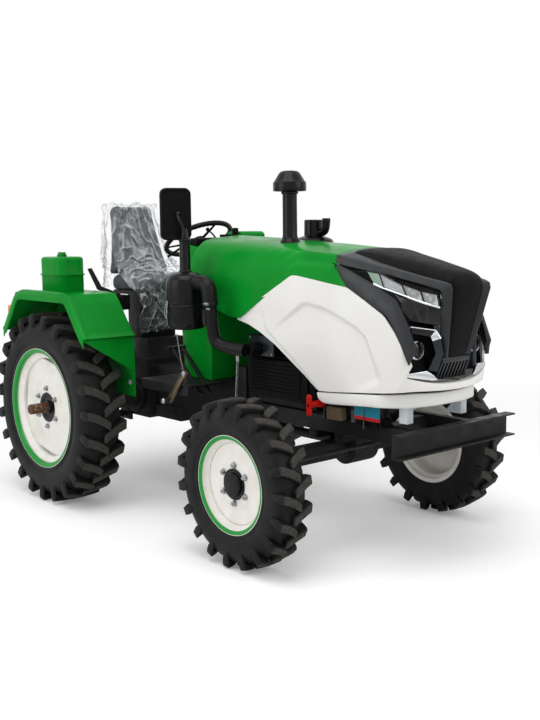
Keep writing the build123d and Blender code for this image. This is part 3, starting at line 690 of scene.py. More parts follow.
def lathe(name: str, profile: Sequence[Flat], centre: Point, steps: int = 96, axis: str = "y") -> Object:
    """Turns a profile about an axis.

    Args:
        name: The piece's name.
        profile: Points as (distance along the axis, radius). A radius of 0 closes the shape at a pole.
        centre: A point on the axis, from which the distances count.
        steps: How many steps a full turn has.
        axis: The axis, "x", "y" or "z".

    Returns:
        The turned shape.
    """
    verts: list[Point] = []
    rings: list[list[int]] = []
    for along, radius in profile:
        ring = []
        for i in range(1 if radius < 1e-7 else steps):
            a = 2 * math.pi * i / steps
            u, v = radius * math.cos(a), radius * math.sin(a)
            offset = {"x": (along, u, v), "y": (v, along, u), "z": (u, v, along)}[axis]
            ring.append(len(verts))
            verts.append(tuple(c + o for c, o in zip(centre, offset)))
        rings.append(ring)
    faces = []
    for one, two in zip(rings, rings[1:]):
        for i in range(steps):
            j = (i + 1) % steps
            if len(one) > 1 and len(two) > 1:
                faces.append((one[i], one[j], two[j], two[i]))
            elif len(one) > 1:
                faces.append((one[i], one[j], two[0]))
            elif len(two) > 1:
                faces.append((one[0], two[j], two[i]))
    return fresh(name, verts, faces)


def tube(name: str, points: Sequence[Point], radius: float, smooth: bool = True, rounds: int = 5) -> Object:
    """Makes a round bar or hose along points.

    Args:
        name: The piece's name.
        points: The points of its path.
        radius: Its radius.
        smooth: Whether the path is a smooth curve through the points, or straight runs.
        rounds: The bevel resolution.

    Returns:
        The tube, as a mesh with closed ends.
    """
    curve = bpy.data.curves.new(name, "CURVE")
    curve.dimensions = "3D"
    curve.bevel_depth = radius
    curve.bevel_resolution = rounds
    curve.use_fill_caps = True
    curve.resolution_u = 8
    spline = curve.splines.new("NURBS" if smooth else "POLY")
    spline.points.add(len(points) - 1)
    for slot, p in zip(spline.points, points):
        slot.co = (*p, 1.0)
    if smooth:
        spline.order_u = 3
        spline.use_endpoint_u = True
    return tidy_normals(baked(placed(name, curve)))


class Copies:
    """Geometry Nodes trees that set many copies of one part round an axle, or in a row."""

    def __init__(self) -> None:
        """Builds both trees."""
        self.ring = self._start("copies_round_an_axle", (("Turn", "NodeSocketVector"), ("Middle", "NodeSocketVector")))
        self.row = self._start("copies_in_a_row", (("Step", "NodeSocketVector"), ("Middle", "NodeSocketVector")))
        self._finish_tree(self.ring, turning=True)
        self._finish_tree(self.row, turning=False)

    def _start(self, name: str, extra: Iterable[tuple[str, str]]) -> NodeTree:
        """Makes a tree with its named sockets."""
        tree = bpy.data.node_groups.new(name, "GeometryNodeTree")
        sockets = (("Part", "NodeSocketObject"), ("Count", "NodeSocketInt"), ("Finish", "NodeSocketMaterial"), *extra)
        for label, kind in sockets:
            tree.interface.new_socket(label, in_out="INPUT", socket_type=kind)
        tree.interface.new_socket("Geometry", in_out="OUTPUT", socket_type="NodeSocketGeometry")
        return tree

    def _finish_tree(self, tree: NodeTree, turning: bool) -> None:
        """Adds the nodes: points, an instance on each, then real copies with their material."""
        given = add_node(tree, "NodeGroupInput").outputs
        index = add_node(tree, "GeometryNodeInputIndex").outputs[0]
        step = given["Turn"] if turning else given["Step"]
        offset = add_node(tree, "ShaderNodeVectorMath", {"operation": "SCALE"}, i0=step, Scale=index).outputs[0]
        if turning:
            places = add_node(tree, "GeometryNodeMeshLine", Count=given["Count"], Start_Location=given["Middle"])
            places.inputs["Offset"].default_value = (0, 0, 0)
        else:
            places = add_node(
                tree, "GeometryNodeMeshLine", Count=given["Count"], Start_Location=given["Middle"], Offset=given["Step"]
            )
        part = add_node(tree, "GeometryNodeObjectInfo", Object=given["Part"], As_Instance=True)
        spots = add_node(
            tree, "GeometryNodeInstanceOnPoints", Points=places.outputs[0], Instance=part.outputs["Geometry"]
        )
        if turning:
            turned = add_node(tree, "FunctionNodeEulerToRotation", Euler=offset)
            tree.links.new(turned.outputs[0], spots.inputs["Rotation"])
        real = add_node(tree, "GeometryNodeRealizeInstances", Geometry=spots.outputs[0])
        dressed = add_node(tree, "GeometryNodeSetMaterial", Geometry=real.outputs[0], Material=given["Finish"])
        add_node(tree, "NodeGroupOutput", Geometry=dressed.outputs[0])

    def make(
        self, name: str, part: Object, count: int, finish: Material, middle: Point,
        turn: Point | None = None, step: Point | None = None,
    ) -> Object:
        """Sets the copies and returns them as one plain mesh.

        Args:
            name: The new piece's name.
            part: The part to copy, made about the origin. It is removed afterwards.
            count: How many copies.
            finish: Their material.
            middle: The axle's middle, or the first copy's place.
            turn: Each copy's turn after the one before, for copies round an axle.
            step: Each copy's step after the one before, for a row.

        Returns:
            The copies, as one mesh object.
        """
        tree = self.ring if turn is not None else self.row
        made = placed(name, bpy.data.meshes.new(name))
        modifier = made.modifiers.new("copies", "NODES")
        modifier.node_group = tree
        values = {"Part": part, "Count": count, "Finish": finish, "Middle": middle, "Turn": turn, "Step": step}
        for item in tree.interface.items_tree:
            if item.in_out == "INPUT" and values.get(item.name) is not None:
                modifier[item.identifier] = values[item.name]
        baked(made)
        bpy.data.objects.remove(part)
        return tidy_normals(made)


class Bench:
    """The bench where each finished piece is settled on the tractor."""

    def __init__(self) -> None:
        """Loads the frame and makes the finishes."""
        self.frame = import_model()
        low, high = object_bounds()
        self.cad_bounds = (list(low), list(high))
        tyre_low, tyre_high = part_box("front_tyre_left")
        self.axle_x = round((tyre_low.x + tyre_high.x) / 2, 4)
        self.finishes = Finishes(self.axle_x)
        self.copies = Copies()

    def settle(
        self, made: Object, body: str, slot: str, finish: str | None = None,
        replaces: Sequence[str] = (), smooth: float = 35.0,
    ) -> Object:
        """Moves a finished mesh to the frame's origin, dresses it and lets it ride on its body.

        Args:
            made: The piece, with x counted from the front axle.
            body: The CAD body that it rides on.
            slot: The record's material slot for the piece, or nothing where the record has none; not used.
            finish: The finish, or None where the mesh has its materials already.
            replaces: The CAD nodes that it stands for.
            smooth: The angle in degrees under which edges are shaded smooth.

        Returns:
            The piece.
        """
        made.data.transform(Matrix.Translation((self.axle_x, 0, 0)))
        return self._dress(made, body, slot, finish, replaces, smooth)

    def _dress(
        self, made: Object, body: str, slot: str, finish: str | None, replaces: Sequence[str], smooth: float
    ) -> Object:
        """Dresses a mesh that is in the row frame already, and lets it ride on its body."""
        if finish is not None:
            painted(made, self.finishes[finish])
        shaded(made, smooth)
        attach(made, body)
        if replaces:
            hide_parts(*replaces)
        LOG.info("%s on %s: %d faces", made.name, body, len(made.data.polygons))
        return made

    def soften(self, node: str, finish: str, width: float = 0.003, segments: int = 2) -> Object:
        """Stands a copy of a CAD node, with its edges rounded, in for it.

        Args:
            node: The CAD node.
            finish: The copy's finish.
            width: The rounding's width.
            segments: The rounding's segments.

        Returns:
            The copy.
        """
        source = self.frame["nodes"][node]
        made = placed(f"{node}_finished", source.data.copy())
        work = bmesh.new()
        work.from_mesh(made.data)
        bmesh.ops.remove_doubles(work, verts=work.verts, dist=CAD_MERGE)
        bmesh.ops.dissolve_limit(work, angle_limit=math.radians(CAD_FLAT_ANGLE), verts=work.verts, edges=work.edges)
        work.to_mesh(made.data)
        work.free()
        bevelled(made, width, segments)
        body = next(name for name, nodes in self.frame["record"]["behaviour"]["bodies"].items() if node in nodes)
        slot = next(s["material_slot"] for s in self.frame["record"]["subparts"] if s["node"] == node)
        return self._dress(made, body, slot, finish, (node,), 30.0)

    def paint(self, node: str, finish: str) -> None:
        """Gives a CAD node that stays as it is its finish."""
        painted(self.frame["nodes"][node], self.finishes[finish])


# ---------------------------------------------------------------- wheels


@dataclass
class Tyre:
    """A lugged driving tyre: a turned carcass, with bars set alternately on its two halves."""

    node: str
    body: str
    side: Side
    x: float
    y: float
    tip_r: float
    half: float
    flange_half: float
    flange_r: float
    lugs: int
    finish: str
    lug_height: float = 0.026
    lug_top: float = 0.036
    lug_foot: float = 0.052
    nose_past: float = 0.014
    inner_slope: float = 0.72
    outer_slope: float = 0.26

    @property
    def crown_r(self) -> float:
        """The carcass's radius at its middle."""
        return self.tip_r - self.lug_height

    def carcass_profile(self) -> list[Flat]:
        """Returns the section from bead to bead, over the crown, as (distance from the middle, radius)."""
        crown, half, fr = self.crown_r, self.half - 0.003, self.flange_r
        depth = crown - fr
        right = [
            (0.0, crown),
            (half * 0.35, crown - depth * 0.012),
            (half * 0.62, crown - depth * 0.05),
            (half * 0.80, crown - depth * 0.12),
            (half * 0.92, crown - depth * 0.24),
            (half * 0.985, crown - depth * 0.38),
            (half, crown - depth * 0.52),
            (half * 0.995, crown - depth * 0.66),
            (half * 0.965, crown - depth * 0.78),
            (half * 0.955, crown - depth * 0.80),
            (half * 0.93, crown - depth * 0.815),
            (half * 0.915, crown - depth * 0.88),
            (self.flange_half + 0.004, fr + depth * 0.03),
            (self.flange_half - 0.003, fr - 0.002),
            (self.flange_half - 0.009, fr - 0.004),
            (self.flange_half - 0.012, fr - 0.014),
        ]
        return [(-v, r) for v, r in reversed(right)] + right[1:]

    def rounded_profile(self) -> list[Flat]:
        """Returns the section with two smoothing passes between its points, its bead kept."""
        points = self.carcass_profile()
        for _ in range(2):
            finer = [points[0]]
            for a, b in zip(points, points[1:]):
                finer += [
                    tuple(0.75 * p + 0.25 * q for p, q in zip(a, b)), tuple(0.25 * p + 0.75 * q for p, q in zip(a, b))
                ]
            points = finer + [points[-1]]
        return points

    def lug(self, half_sign: int) -> Object:
        """Makes one bar about the origin, at the top of the tyre.

        Args:
            half_sign: Which half it stands on, 1 for +y.

        Returns:
            The bar.
        """
        tip, half, nose = self.tip_r, self.half, self.nose_past
        end = half - 0.008
        foot = tip - self.lug_height - 0.012
        spots = [(-nose, 0.62), (0.002 - nose, 0.82), (0.006 - nose, 0.95), (0.012 - nose, 1.0)]
        spots += [(share * end, 1.0) for share in (0.08, 0.22, 0.36, 0.5, 0.64, 0.78, 0.9, 1.0)]
        rows = []
        for v, taper in spots:
            share = max(v, 0.0) / end
            slope = self.inner_slope - (self.inner_slope - self.outer_slope) * share
            run = (self.inner_slope + slope) / 2 * v
            rows.append((v, run, tip - 0.006 * share**2, foot, taper, 0.0))
        run = rows[-1][1]
        rows.append((half - 0.002, run + 0.002, tip - 0.019, foot - 0.030, 1.0, 0.012))
        rows.append((half, run + 0.004, tip - 0.046, foot - 0.055, 0.95, 0.016))
        rows.append((half, run + 0.006, tip - 0.078, tip - 0.092, 0.7, 0.016))
        verts: list[Point] = []
        for v, run, top_r, foot_r, taper, sink in rows:
            for width, r, inner in (
                (
                    -self.lug_foot, foot_r, sink
                ), (-self.lug_top, top_r, 0), (self.lug_top, top_r, 0), (self.lug_foot, foot_r, sink)
            ):
                arc = (-run + width * taper / 2) / tip
                axial = min(v, half) - inner
                verts.append((r * math.sin(arc), half_sign * axial, r * math.cos(arc)))
        faces = []
        for k in range(len(rows) - 1):
            for i in range(4):
                j = (i + 1) % 4
                faces.append((4 * k + i, 4 * k + j, 4 * k + 4 + j, 4 * k + 4 + i))
        faces += [(0, 1, 2, 3), tuple(4 * (len(rows) - 1) + i for i in range(4))]
        return bevelled(fresh("bar", verts, faces), 0.0025, 2, 30)

    def build(self, bench: Bench) -> None:
        """Makes the tyre and settles it."""
        middle = (self.x, self.side.value * self.y, self.tip_r)
        carcass = lathe("carcass", self.rounded_profile(), middle, 128)
        carcass.data.materials.append(bench.finishes[self.finish])
        pitch = 2 * math.pi / self.lugs
        halves = []
        for sign in (1, -1):
            bars = bench.copies.make(
                "bars", self.lug(sign), self.lugs, bench.finishes[self.finish], (0, 0, 0), turn=(0, pitch, 0)
            )
            start = Matrix.Rotation(pitch / 2 if sign > 0 else 0.0, 4, "Y")
            bars.data.transform(Matrix.Translation(middle) @ start)
            halves.append(bars)
        made = joined(f"{self.node}_lugged", [carcass, *halves])
        bench.settle(made, self.body, "tyre_rubber", replaces=(self.node,))


@dataclass
class Rim:
    """A pressed steel wheel with its hub, bolts and, behind, its keyed shaft end."""

    node: str
    body: str
    side: Side
    x: float
    y: float
    tip_r: float
    finish: str
    barrel: Sequence[Flat]
    disc: Sequence[Flat]
    hub: Sequence[Flat]
    bolt_circle: float
    bolt_at: float
    bolts: int = 6
    shaft: Sequence[Flat] = ()
    chord: float = 0.0

    def turned(self, name: str, profile: Sequence[Flat], steps: int = 128) -> Object:
        """Turns a profile about the wheel's axle, with distances counted outwards."""
        s = self.side.value
        return lathe(name, [(s * v, r) for v, r in profile], (self.x, s * self.y, self.tip_r), steps)

    def cut_chords(self, disc: Object, root: float = 0.225, rim: float = 0.270, first: float = 80.0) -> None:
        """Draws the disc's edge in to four straight chords, which open slots between it and the rim.

        Args:
            disc: The turned disc.
            root: The radius where the drawing in starts.
            rim: The disc's own radius.
            first: The turn of the first chord's middle from straight ahead, in degrees.
        """
        for corner in disc.data.vertices:
            dx, dz = corner.co.x - self.x, corner.co.z - self.tip_r
            r = math.hypot(dx, dz)
            if r > root:
                off = (math.degrees(math.atan2(dz, dx)) - self.side.value * -first + 45) % 90 - 45
                limit = min(rim, self.chord / math.cos(math.radians(off)))
                scale = (root + (r - root) * (limit - root) / (rim - root)) / r
                corner.co.x, corner.co.z = self.x + dx * scale, self.tip_r + dz * scale

    def bolt(self, radius: float) -> Object:
        """Makes a stud with its nut and washer about the origin, radius away from the axle."""
        s = self.side.value
        at = s * (self.y + self.bolt_at)
        washer, nut, stud = (
            lathe("bolt", [(s * v, r) for v, r in profile], (0, at, radius), steps) for steps, profile in BOLT
        )
        return joined("stud_and_nut", [washer, bevelled(nut, 0.001, 1), stud])

    def build(self, bench: Bench) -> None:
        """Makes the wheel's pieces and settles them."""
        barrel = self.turned("barrel", [*self.barrel, self.barrel[0]])
        disc = self.turned("disc", [*self.disc, self.disc[0]], 180)
        if self.chord:
            self.cut_chords(disc)
        rim = joined(f"{self.node}_pressed", [barrel, disc])
        bench.settle(rim, self.body, "white_paint", self.finish, replaces=(self.node,), smooth=30)
        hub = self.turned(f"{self.node}_hub", self.hub, 64)
        bench.settle(hub, self.body, "black_paint", "canister_black", smooth=30)
        studs = bench.copies.make(
            f"{self.node}_nuts", self.bolt(self.bolt_circle), self.bolts, bench.finishes["zinc_plate"],
            (self.x, 0, self.tip_r), turn=(0, 2 * math.pi / self.bolts, 0),
        )
        bench.settle(studs, self.body, "steel", "zinc_plate", smooth=30)
        if self.shaft:
            end = self.turned(f"{self.node}_shaft_end", self.shaft, 48)
            bench.settle(end, self.body, "steel", "rusted_steel", smooth=30)


# A wheel bolt's washer, nut and stud: steps round, then (distance outwards, radius).
BOLT: tuple[tuple[int, tuple[Flat, ...]], ...] = (
    (28, ((0, 0), (0, 0.0150), (0.002, 0.0152), (0.0035, 0.0145), (0.0035, 0))),
    (6, ((0.003, 0), (0.003, 0.0125), (0.012, 0.0125), (0.014, 0.0108), (0.014, 0))),
    (16, ((0.013, 0), (0.013, 0.0058), (0.019, 0.0056), (0.020, 0.0048), (0.020, 0))),
)
# The wheels' sections, as (distance outwards from the middle, radius).
FRONT_BARREL: tuple[Flat, ...] = metres((
    (73, 214.5), (72.5, 219), (70, 220), (66.5, 219), (65, 212), (64, 204), (48, 203), (36, 186), (-36, 186),
    (-48, 203), (-64, 204), (-66, 219), (-70, 220), (-73, 214.5), (-70, 199), (-51, 197), (-40, 181), (37, 181),
    (42, 184), (49, 195), (53, 197.5), (64, 199), (69, 203),
))
FRONT_DISC: tuple[Flat, ...] = metres((
    (26, 181), (34, 180), (36.5, 176), (37, 160), (34.5, 150), (31, 140), (31, 118), (35, 108), (40, 100), (40, 68),
    (33, 68), (24, 110), (24, 150), (28, 170),
))
FRONT_HUB: tuple[Flat, ...] = (
    (-0.048, 0.0302), (-0.048, 0.062), (-0.010, 0.066), (0.030, 0.069), (0.046, 0.069), (0.048, 0.067),
    (0.048, 0.054), (0.056, 0.053), (0.0605, 0.050), (0.062, 0.044), (0.062, 0.0), (0.033, 0.0),
    (0.030, 0.0302), (-0.048, 0.0302),
)
REAR_BARREL: tuple[Flat, ...] = metres((
    (112, 321), (111.5, 325.5), (108, 327), (104, 326), (103, 316), (102, 306), (82, 305), (64, 276), (-64, 276),
    (-82, 305), (-102, 306), (-104, 326), (-108, 327), (-112, 321), (-108, 300), (-85, 298), (-67, 270), (60, 270),
    (67, 273), (74, 284), (81, 296), (87, 299.5), (100, 301), (107, 306),
))
REAR_DISC: tuple[Flat, ...] = metres((
    (50, 270), (56, 268), (58, 262), (59, 245), (58, 190), (62, 176), (62, 150), (66, 140), (67, 125), (67, 80),
    (59, 80), (52, 140), (49, 180), (49, 240),
))
REAR_HUB: tuple[Flat, ...] = metres((
    (20, 0), (20, 78), (30, 82), (66.5, 82), (69, 80), (69, 60), (64, 56), (63, 40), (69, 38), (69, 0),
))
REAR_SHAFT: tuple[Flat, ...] = metres((
    (60, 0), (60, 28), (140, 28), (142, 27.5), (170, 27.5), (174.5, 24.5), (174.5, 7), (170, 4), (169, 0),
))


def build_wheels(bench: Bench) -> None:
    """Builds the four wheels."""
    for side in Side:
        front = {"body": f"front_{side.tag}", "side": side, "x": 0.0, "y": 0.6585, "tip_r": FRONT_R}
        rear = {"body": f"rear_{side.tag}", "side": side, "x": -WHEELBASE, "y": 0.6765, "tip_r": REAR_R}
        Tyre(
            f"front_tyre_{side.tag}", **front, half=0.0865, flange_half=0.073, flange_r=0.220, lugs=19,
            finish="front_tread_rubber",
        ).build(bench)
        Tyre(
            f"rear_tyre_{side.tag}", **rear, half=0.1215, flange_half=0.112, flange_r=0.327, lugs=23,
            finish="rear_tread_rubber", lug_height=0.030, lug_top=0.044, lug_foot=0.062, nose_past=0.016,
        ).build(bench)
        Rim(
            f"front_wheel_{side.tag}", **front, finish="front_wheel_enamel", barrel=FRONT_BARREL, disc=FRONT_DISC,
            hub=FRONT_HUB, bolt_circle=0.085, bolt_at=0.040,
        ).build(bench)
        Rim(
            f"rear_wheel_{side.tag}", **rear, finish="rear_wheel_enamel", barrel=REAR_BARREL, disc=REAR_DISC,
            hub=REAR_HUB, bolt_circle=0.105, bolt_at=0.067, shaft=REAR_SHAFT, chord=0.250,
        ).build(bench)


# ---------------------------------------------------------------- chassis


SOFTENED: dict[str, tuple[str, float]] = {
    "frame_rails": ("chassis_black", 0.003),
    "front_beam": ("chassis_black", 0.003),
    "front_axle": ("engine_black", 0.006),
    "engine": ("engine_black", 0.006),
    "engine_cover": ("matt_black_abs", 0.003),
    "radiator": ("chassis_black", 0.004),
    "gearbox": ("engine_black", 0.008),
    "rear_axle": ("engine_black", 0.005),
    "footplates": ("chassis_black", 0.002),
    "console": ("green_enamel", 0.008),
    "fenders": ("green_enamel", 0.003),
    "seat_base": ("chassis_black", 0.004),
    "control_levers": ("matt_black_abs", 0.006),
    "pedals": ("chassis_black", 0.002),
    "hitch_frame": ("chassis_black", 0.002),
    "lower_links": ("chassis_black", 0.002),
    "lift_arms": ("chassis_black", 0.002),
    "lift_rods": ("chassis_black", 0.002),
    "top_link": ("chassis_black", 0.002),
    "knuckle_left": ("engine_black", 0.003),
    "knuckle_right": ("engine_black", 0.003),
    "tail_lamps": ("amber_lens", 0.004),
    "fuel_tank": ("green_enamel", 0.003),
}
PAINTED: dict[str, str] = {
    "drive_shaft": "chassis_black",
    "tie_rod": "chassis_black",
    "steering_column": "chassis_black",
    "pto_shaft": "zinc_plate",
}


def build_chassis(bench: Bench) -> None:
    """Rounds and finishes the frame's own pieces."""
    for node, (finish, width) in SOFTENED.items():
        bench.soften(node, finish, width)
    for node, finish in PAINTED.items():
        bench.paint(node, finish)


# ---------------------------------------------------------------- shells


Row = tuple[float, ...]


def at(table: Sequence[Row], key: float) -> Row:
    """Reads a table at a key between its rows.

    Args:
        table: Rows in rising order of their first item.
        key: The first item to read at.

    Returns:
        The row's other items, in a straight line between the rows beside the key.
    """
    if key <= table[0][0]:
        return tuple(table[0][1:])
    for one, two in zip(table, table[1:]):
        if key <= two[0]:
            share = (key - one[0]) / (two[0] - one[0])
            return tuple(a + (b - a) * share for a, b in zip(one[1:], two[1:]))
    return tuple(table[-1][1:])


def eased(points: Sequence[Point], passes: int = 2, cut: float = 0.25) -> list[Point]:
    """Cuts the corners of a line of points, and keeps its ends."""
    line = [tuple(p) for p in points]
    for _ in range(passes):
        finer = [line[0]]
        for a, b in zip(line, line[1:]):
            finer.append(tuple(p + (q - p) * cut for p, q in zip(a, b)))
            finer.append(tuple(q + (p - q) * cut for p, q in zip(a, b)))
        line = finer + [line[-1]]
    return line


def spaced(points: Sequence[Point], count: int) -> list[Point]:
    """Returns count points evenly spaced along a line of points."""
    steps = [math.dist(a, b) for a, b in zip(points, points[1:])]
    total = sum(steps)
    line = []
    for i in range(count):
        left = total * i / (count - 1)
        for (a, b), step in zip(zip(points, points[1:]), steps):
            if left <= step or b is points[-1]:
                share = min(left / step, 1.0) if step else 0.0
                line.append(tuple(p + (q - p) * share for p, q in zip(a, b)))
                break
            left -= step
    return line


def skin(
    name: str, rows: Sequence[Sequence[Point]], closed: bool = False, capped: bool = False
) -> Object:
    """Makes a sheet of quads from rows with the same count of points.

    Args:
        name: The piece's name.
        rows: The rows.
        closed: Whether each row is a loop, whose ends join.
        capped: Whether the first and the last row are each closed with a face.

    Returns:
        The sheet.
    """
    width = len(rows[0])
    verts = [p for row in rows for p in row]
    faces = []
    for i in range(len(rows) - 1):
        for j in range(width if closed else width - 1):
            k = (j + 1) % width
            faces.append((i * width + j, i * width + k, (i + 1) * width + k, (i + 1) * width + j))
    if capped:
        faces += [tuple(range(width)), tuple(width * (len(rows) - 1) + i for i in range(width))]
    return fresh(name, verts, faces)


def walled(made: Object, thickness: float, inwards: Point = (0, 0, 0)) -> Object:
    """Gives a sheet a wall, on the side towards a point inside the shape.

    Args:
        made: The sheet.
        thickness: The wall's thickness.
        inwards: A point well inside the shape.

    Returns:
        The walled sheet, with its normals outwards.
    """
    mesh = made.data
    middle = Vector(inwards)
    facing = sum((Vector(face.center) - middle).dot(face.normal) * face.area for face in mesh.polygons)
    if facing < 0:
        mesh.flip_normals()
    modifier = made.modifiers.new("wall", "SOLIDIFY")
    modifier.thickness = thickness
    modifier.offset = -1.0
    modifier.use_even_offset = True
    return tidy_normals(baked(made))


def flipped(points: Iterable[Point], side: Side) -> list[Point]:
    """Puts points that are given with half widths onto a side."""
    return [(x, side.value * y, z) for x, y, z in points]


def both_halves(row: Sequence[Point]) -> list[Point]:
    """Returns a row from its -y end to its +y end, for a row given from the middle outwards."""
    tail = row[1:] if abs(row[0][1]) < 1e-6 else row
    return [(x, -y, z) for x, y, z in reversed(row)] + [tuple(p) for p in tail]


def rounded(half: float, top_half: float, low: float, high: float, corner: float, steps: int = 8) -> list[Flat]:
    """Returns an outline with rounded corners, as (across, up).

    Args:
        half: The half width below.
        top_half: The half width above.
        low: The lowest level.
        high: The highest level.
        corner: The corners' radius.
        steps: How many steps a corner has.
    """
    points = []
    for side_x, side_z, first in ((1, -1, -90), (1, 1, 0), (-1, 1, 90), (-1, -1, 180)):
        reach = (half if side_z < 0 else top_half) - corner
        level = (low + corner) if side_z < 0 else (high - corner)
        for step in range(steps + 1):
            a = math.radians(first + 90 * step / steps)
            points.append((side_x * reach + corner * math.cos(a), level + corner * math.sin(a)))
    return points


def ramp(value: float) -> float:
    """Holds a value between 0 and 1."""
    return min(max(value, 0.0), 1.0)


def swell(value: float) -> float:
    """Holds a value between 0 and 1, and eases it at both ends."""
    share = ramp(value)
    return share * share * (3 - 2 * share)


# ---------------------------------------------------------------- bonnet


@dataclass
class Bonnet:
    """The green steel bonnet: rounded shoulders, a brow line along each, and a folded lower edge."""

    # Section columns: x, then half width and height of each fold, from the middle to the foot.
    sections: Sequence[Row] = metres((
        (-823, 0, 1442, 100, 1434, 184, 1427, 240, 1410, 274, 1374, 293, 1340, 302, 1315, 312, 1257, 318, 1100),
        (-500, 0, 1428, 105, 1422, 188, 1413, 243, 1395, 268, 1370, 286, 1338, 296, 1310, 308, 1250, 318, 1070),
        (-250, 0, 1412, 110, 1406, 190, 1396, 245, 1380, 262, 1362, 272, 1334, 288, 1312, 302, 1245, 314, 1100),
        (-60, 0, 1400, 112, 1395, 190, 1384, 248, 1372, 257, 1357, 263, 1326, 284, 1312, 299, 1245, 306, 1200),
        (180, 0, 1383, 115, 1377, 187, 1363, 246, 1357, 252, 1345, 258, 1314, 286, 1306, 297, 1245, 302, 1200),
        (300, 0, 1374, 115, 1366, 180, 1345, 222, 1333, 228, 1322, 234, 1293, 280, 1284, 292, 1235, 298, 1190),
    ))
    foot: Sequence[Row] = metres((
        (-823, 1123), (-778, 1117), (-490, 1049), (-419, 1047), (-55, 1264), (290, 1218),
    ))
    thickness: float = 0.004
    # The height under which a column leans with the bonnet's ends.
    shoulder_z: float = 1.355
    # Where each column stands on the top, meets the foot and passes the side.
    stations: Sequence[Point] = metres((
        (-805, -778, -824), (-740, -720, -750), (-660, -650, -660), (-580, -580, -580), (-490, -490, -490),
        (-419, -419, -419), (-330, -330, -330), (-240, -240, -240), (-150, -150, -150), (-55, -55, -55), (20, 30, 20),
        (100, 140, 110), (176, 288, 216),
    ))
    points_each: int = 44
    rows_between: int = 4

    def column(self, x_top: float, x_foot: float, x_waist: float) -> list[Point]:
        """Returns the section's points from the middle to the foot.

        Args:
            x_top: Where the column stands on the bonnet's top.
            x_foot: Where it meets the foot.
            x_waist: Where it passes the side, half way down.

        Returns:
            The points, on the +y half.
        """
        foot_z = at(self.foot, x_foot)[0]
        top = at(self.sections, x_top)
        line: list[Point] = []
        for i in range(0, len(top), 2):
            x = x_top
            for _ in range(2):
                z = at(self.sections, x)[i + 1]
                share = ramp((self.shoulder_z - z) / (self.shoulder_z - foot_z))
                x = x_top + (x_waist - x_top) * min(share * 2, 1.0) + (x_foot - x_waist) * max(share * 2 - 1, 0.0)
            y, z = at(self.sections, x)[i : i + 2]
            if z < foot_z + 0.012:
                break
            line.append((x, y, z))
        low_y = line[-1][1]
        for (y0, z0), (y1, z1) in zip(self.pairs(x_foot), self.pairs(x_foot)[1:]):
            if z1 <= foot_z <= z0:
                low_y = y0 + (y1 - y0) * (z0 - foot_z) / (z0 - z1)
        line.append((x_foot, low_y, foot_z))
        return line

    def pairs(self, x: float) -> list[Flat]:
        """Returns the section's (half width, height) pairs at x."""
        row = at(self.sections, x)
        return [(row[i], row[i + 1]) for i in range(0, len(row), 2)]

    def build(self, bench: Bench) -> None:
        """Makes the bonnet's sheet and settles it."""
        rows = [both_halves(spaced(eased(self.column(*station), 3), self.points_each)) for station in self.stations]
        finer: list[list[Point]] = []
        for one, two in zip(rows, rows[1:]):
            for step in range(self.rows_between):
                share = step / self.rows_between
                finer.append([tuple(p + (q - p) * share for p, q in zip(a, b)) for a, b in zip(one, two)])
        finer.append(rows[-1])
        sheet = walled(skin("bonnet_sheet", finer), self.thickness, (-0.3, 0, 0.9))
        bench.settle(bevelled(sheet, 0.0015, 2, 50), "tilting_bonnet", "green_paint", "green_enamel", ("bonnet",), 40)


# ---------------------------------------------------------------- nose


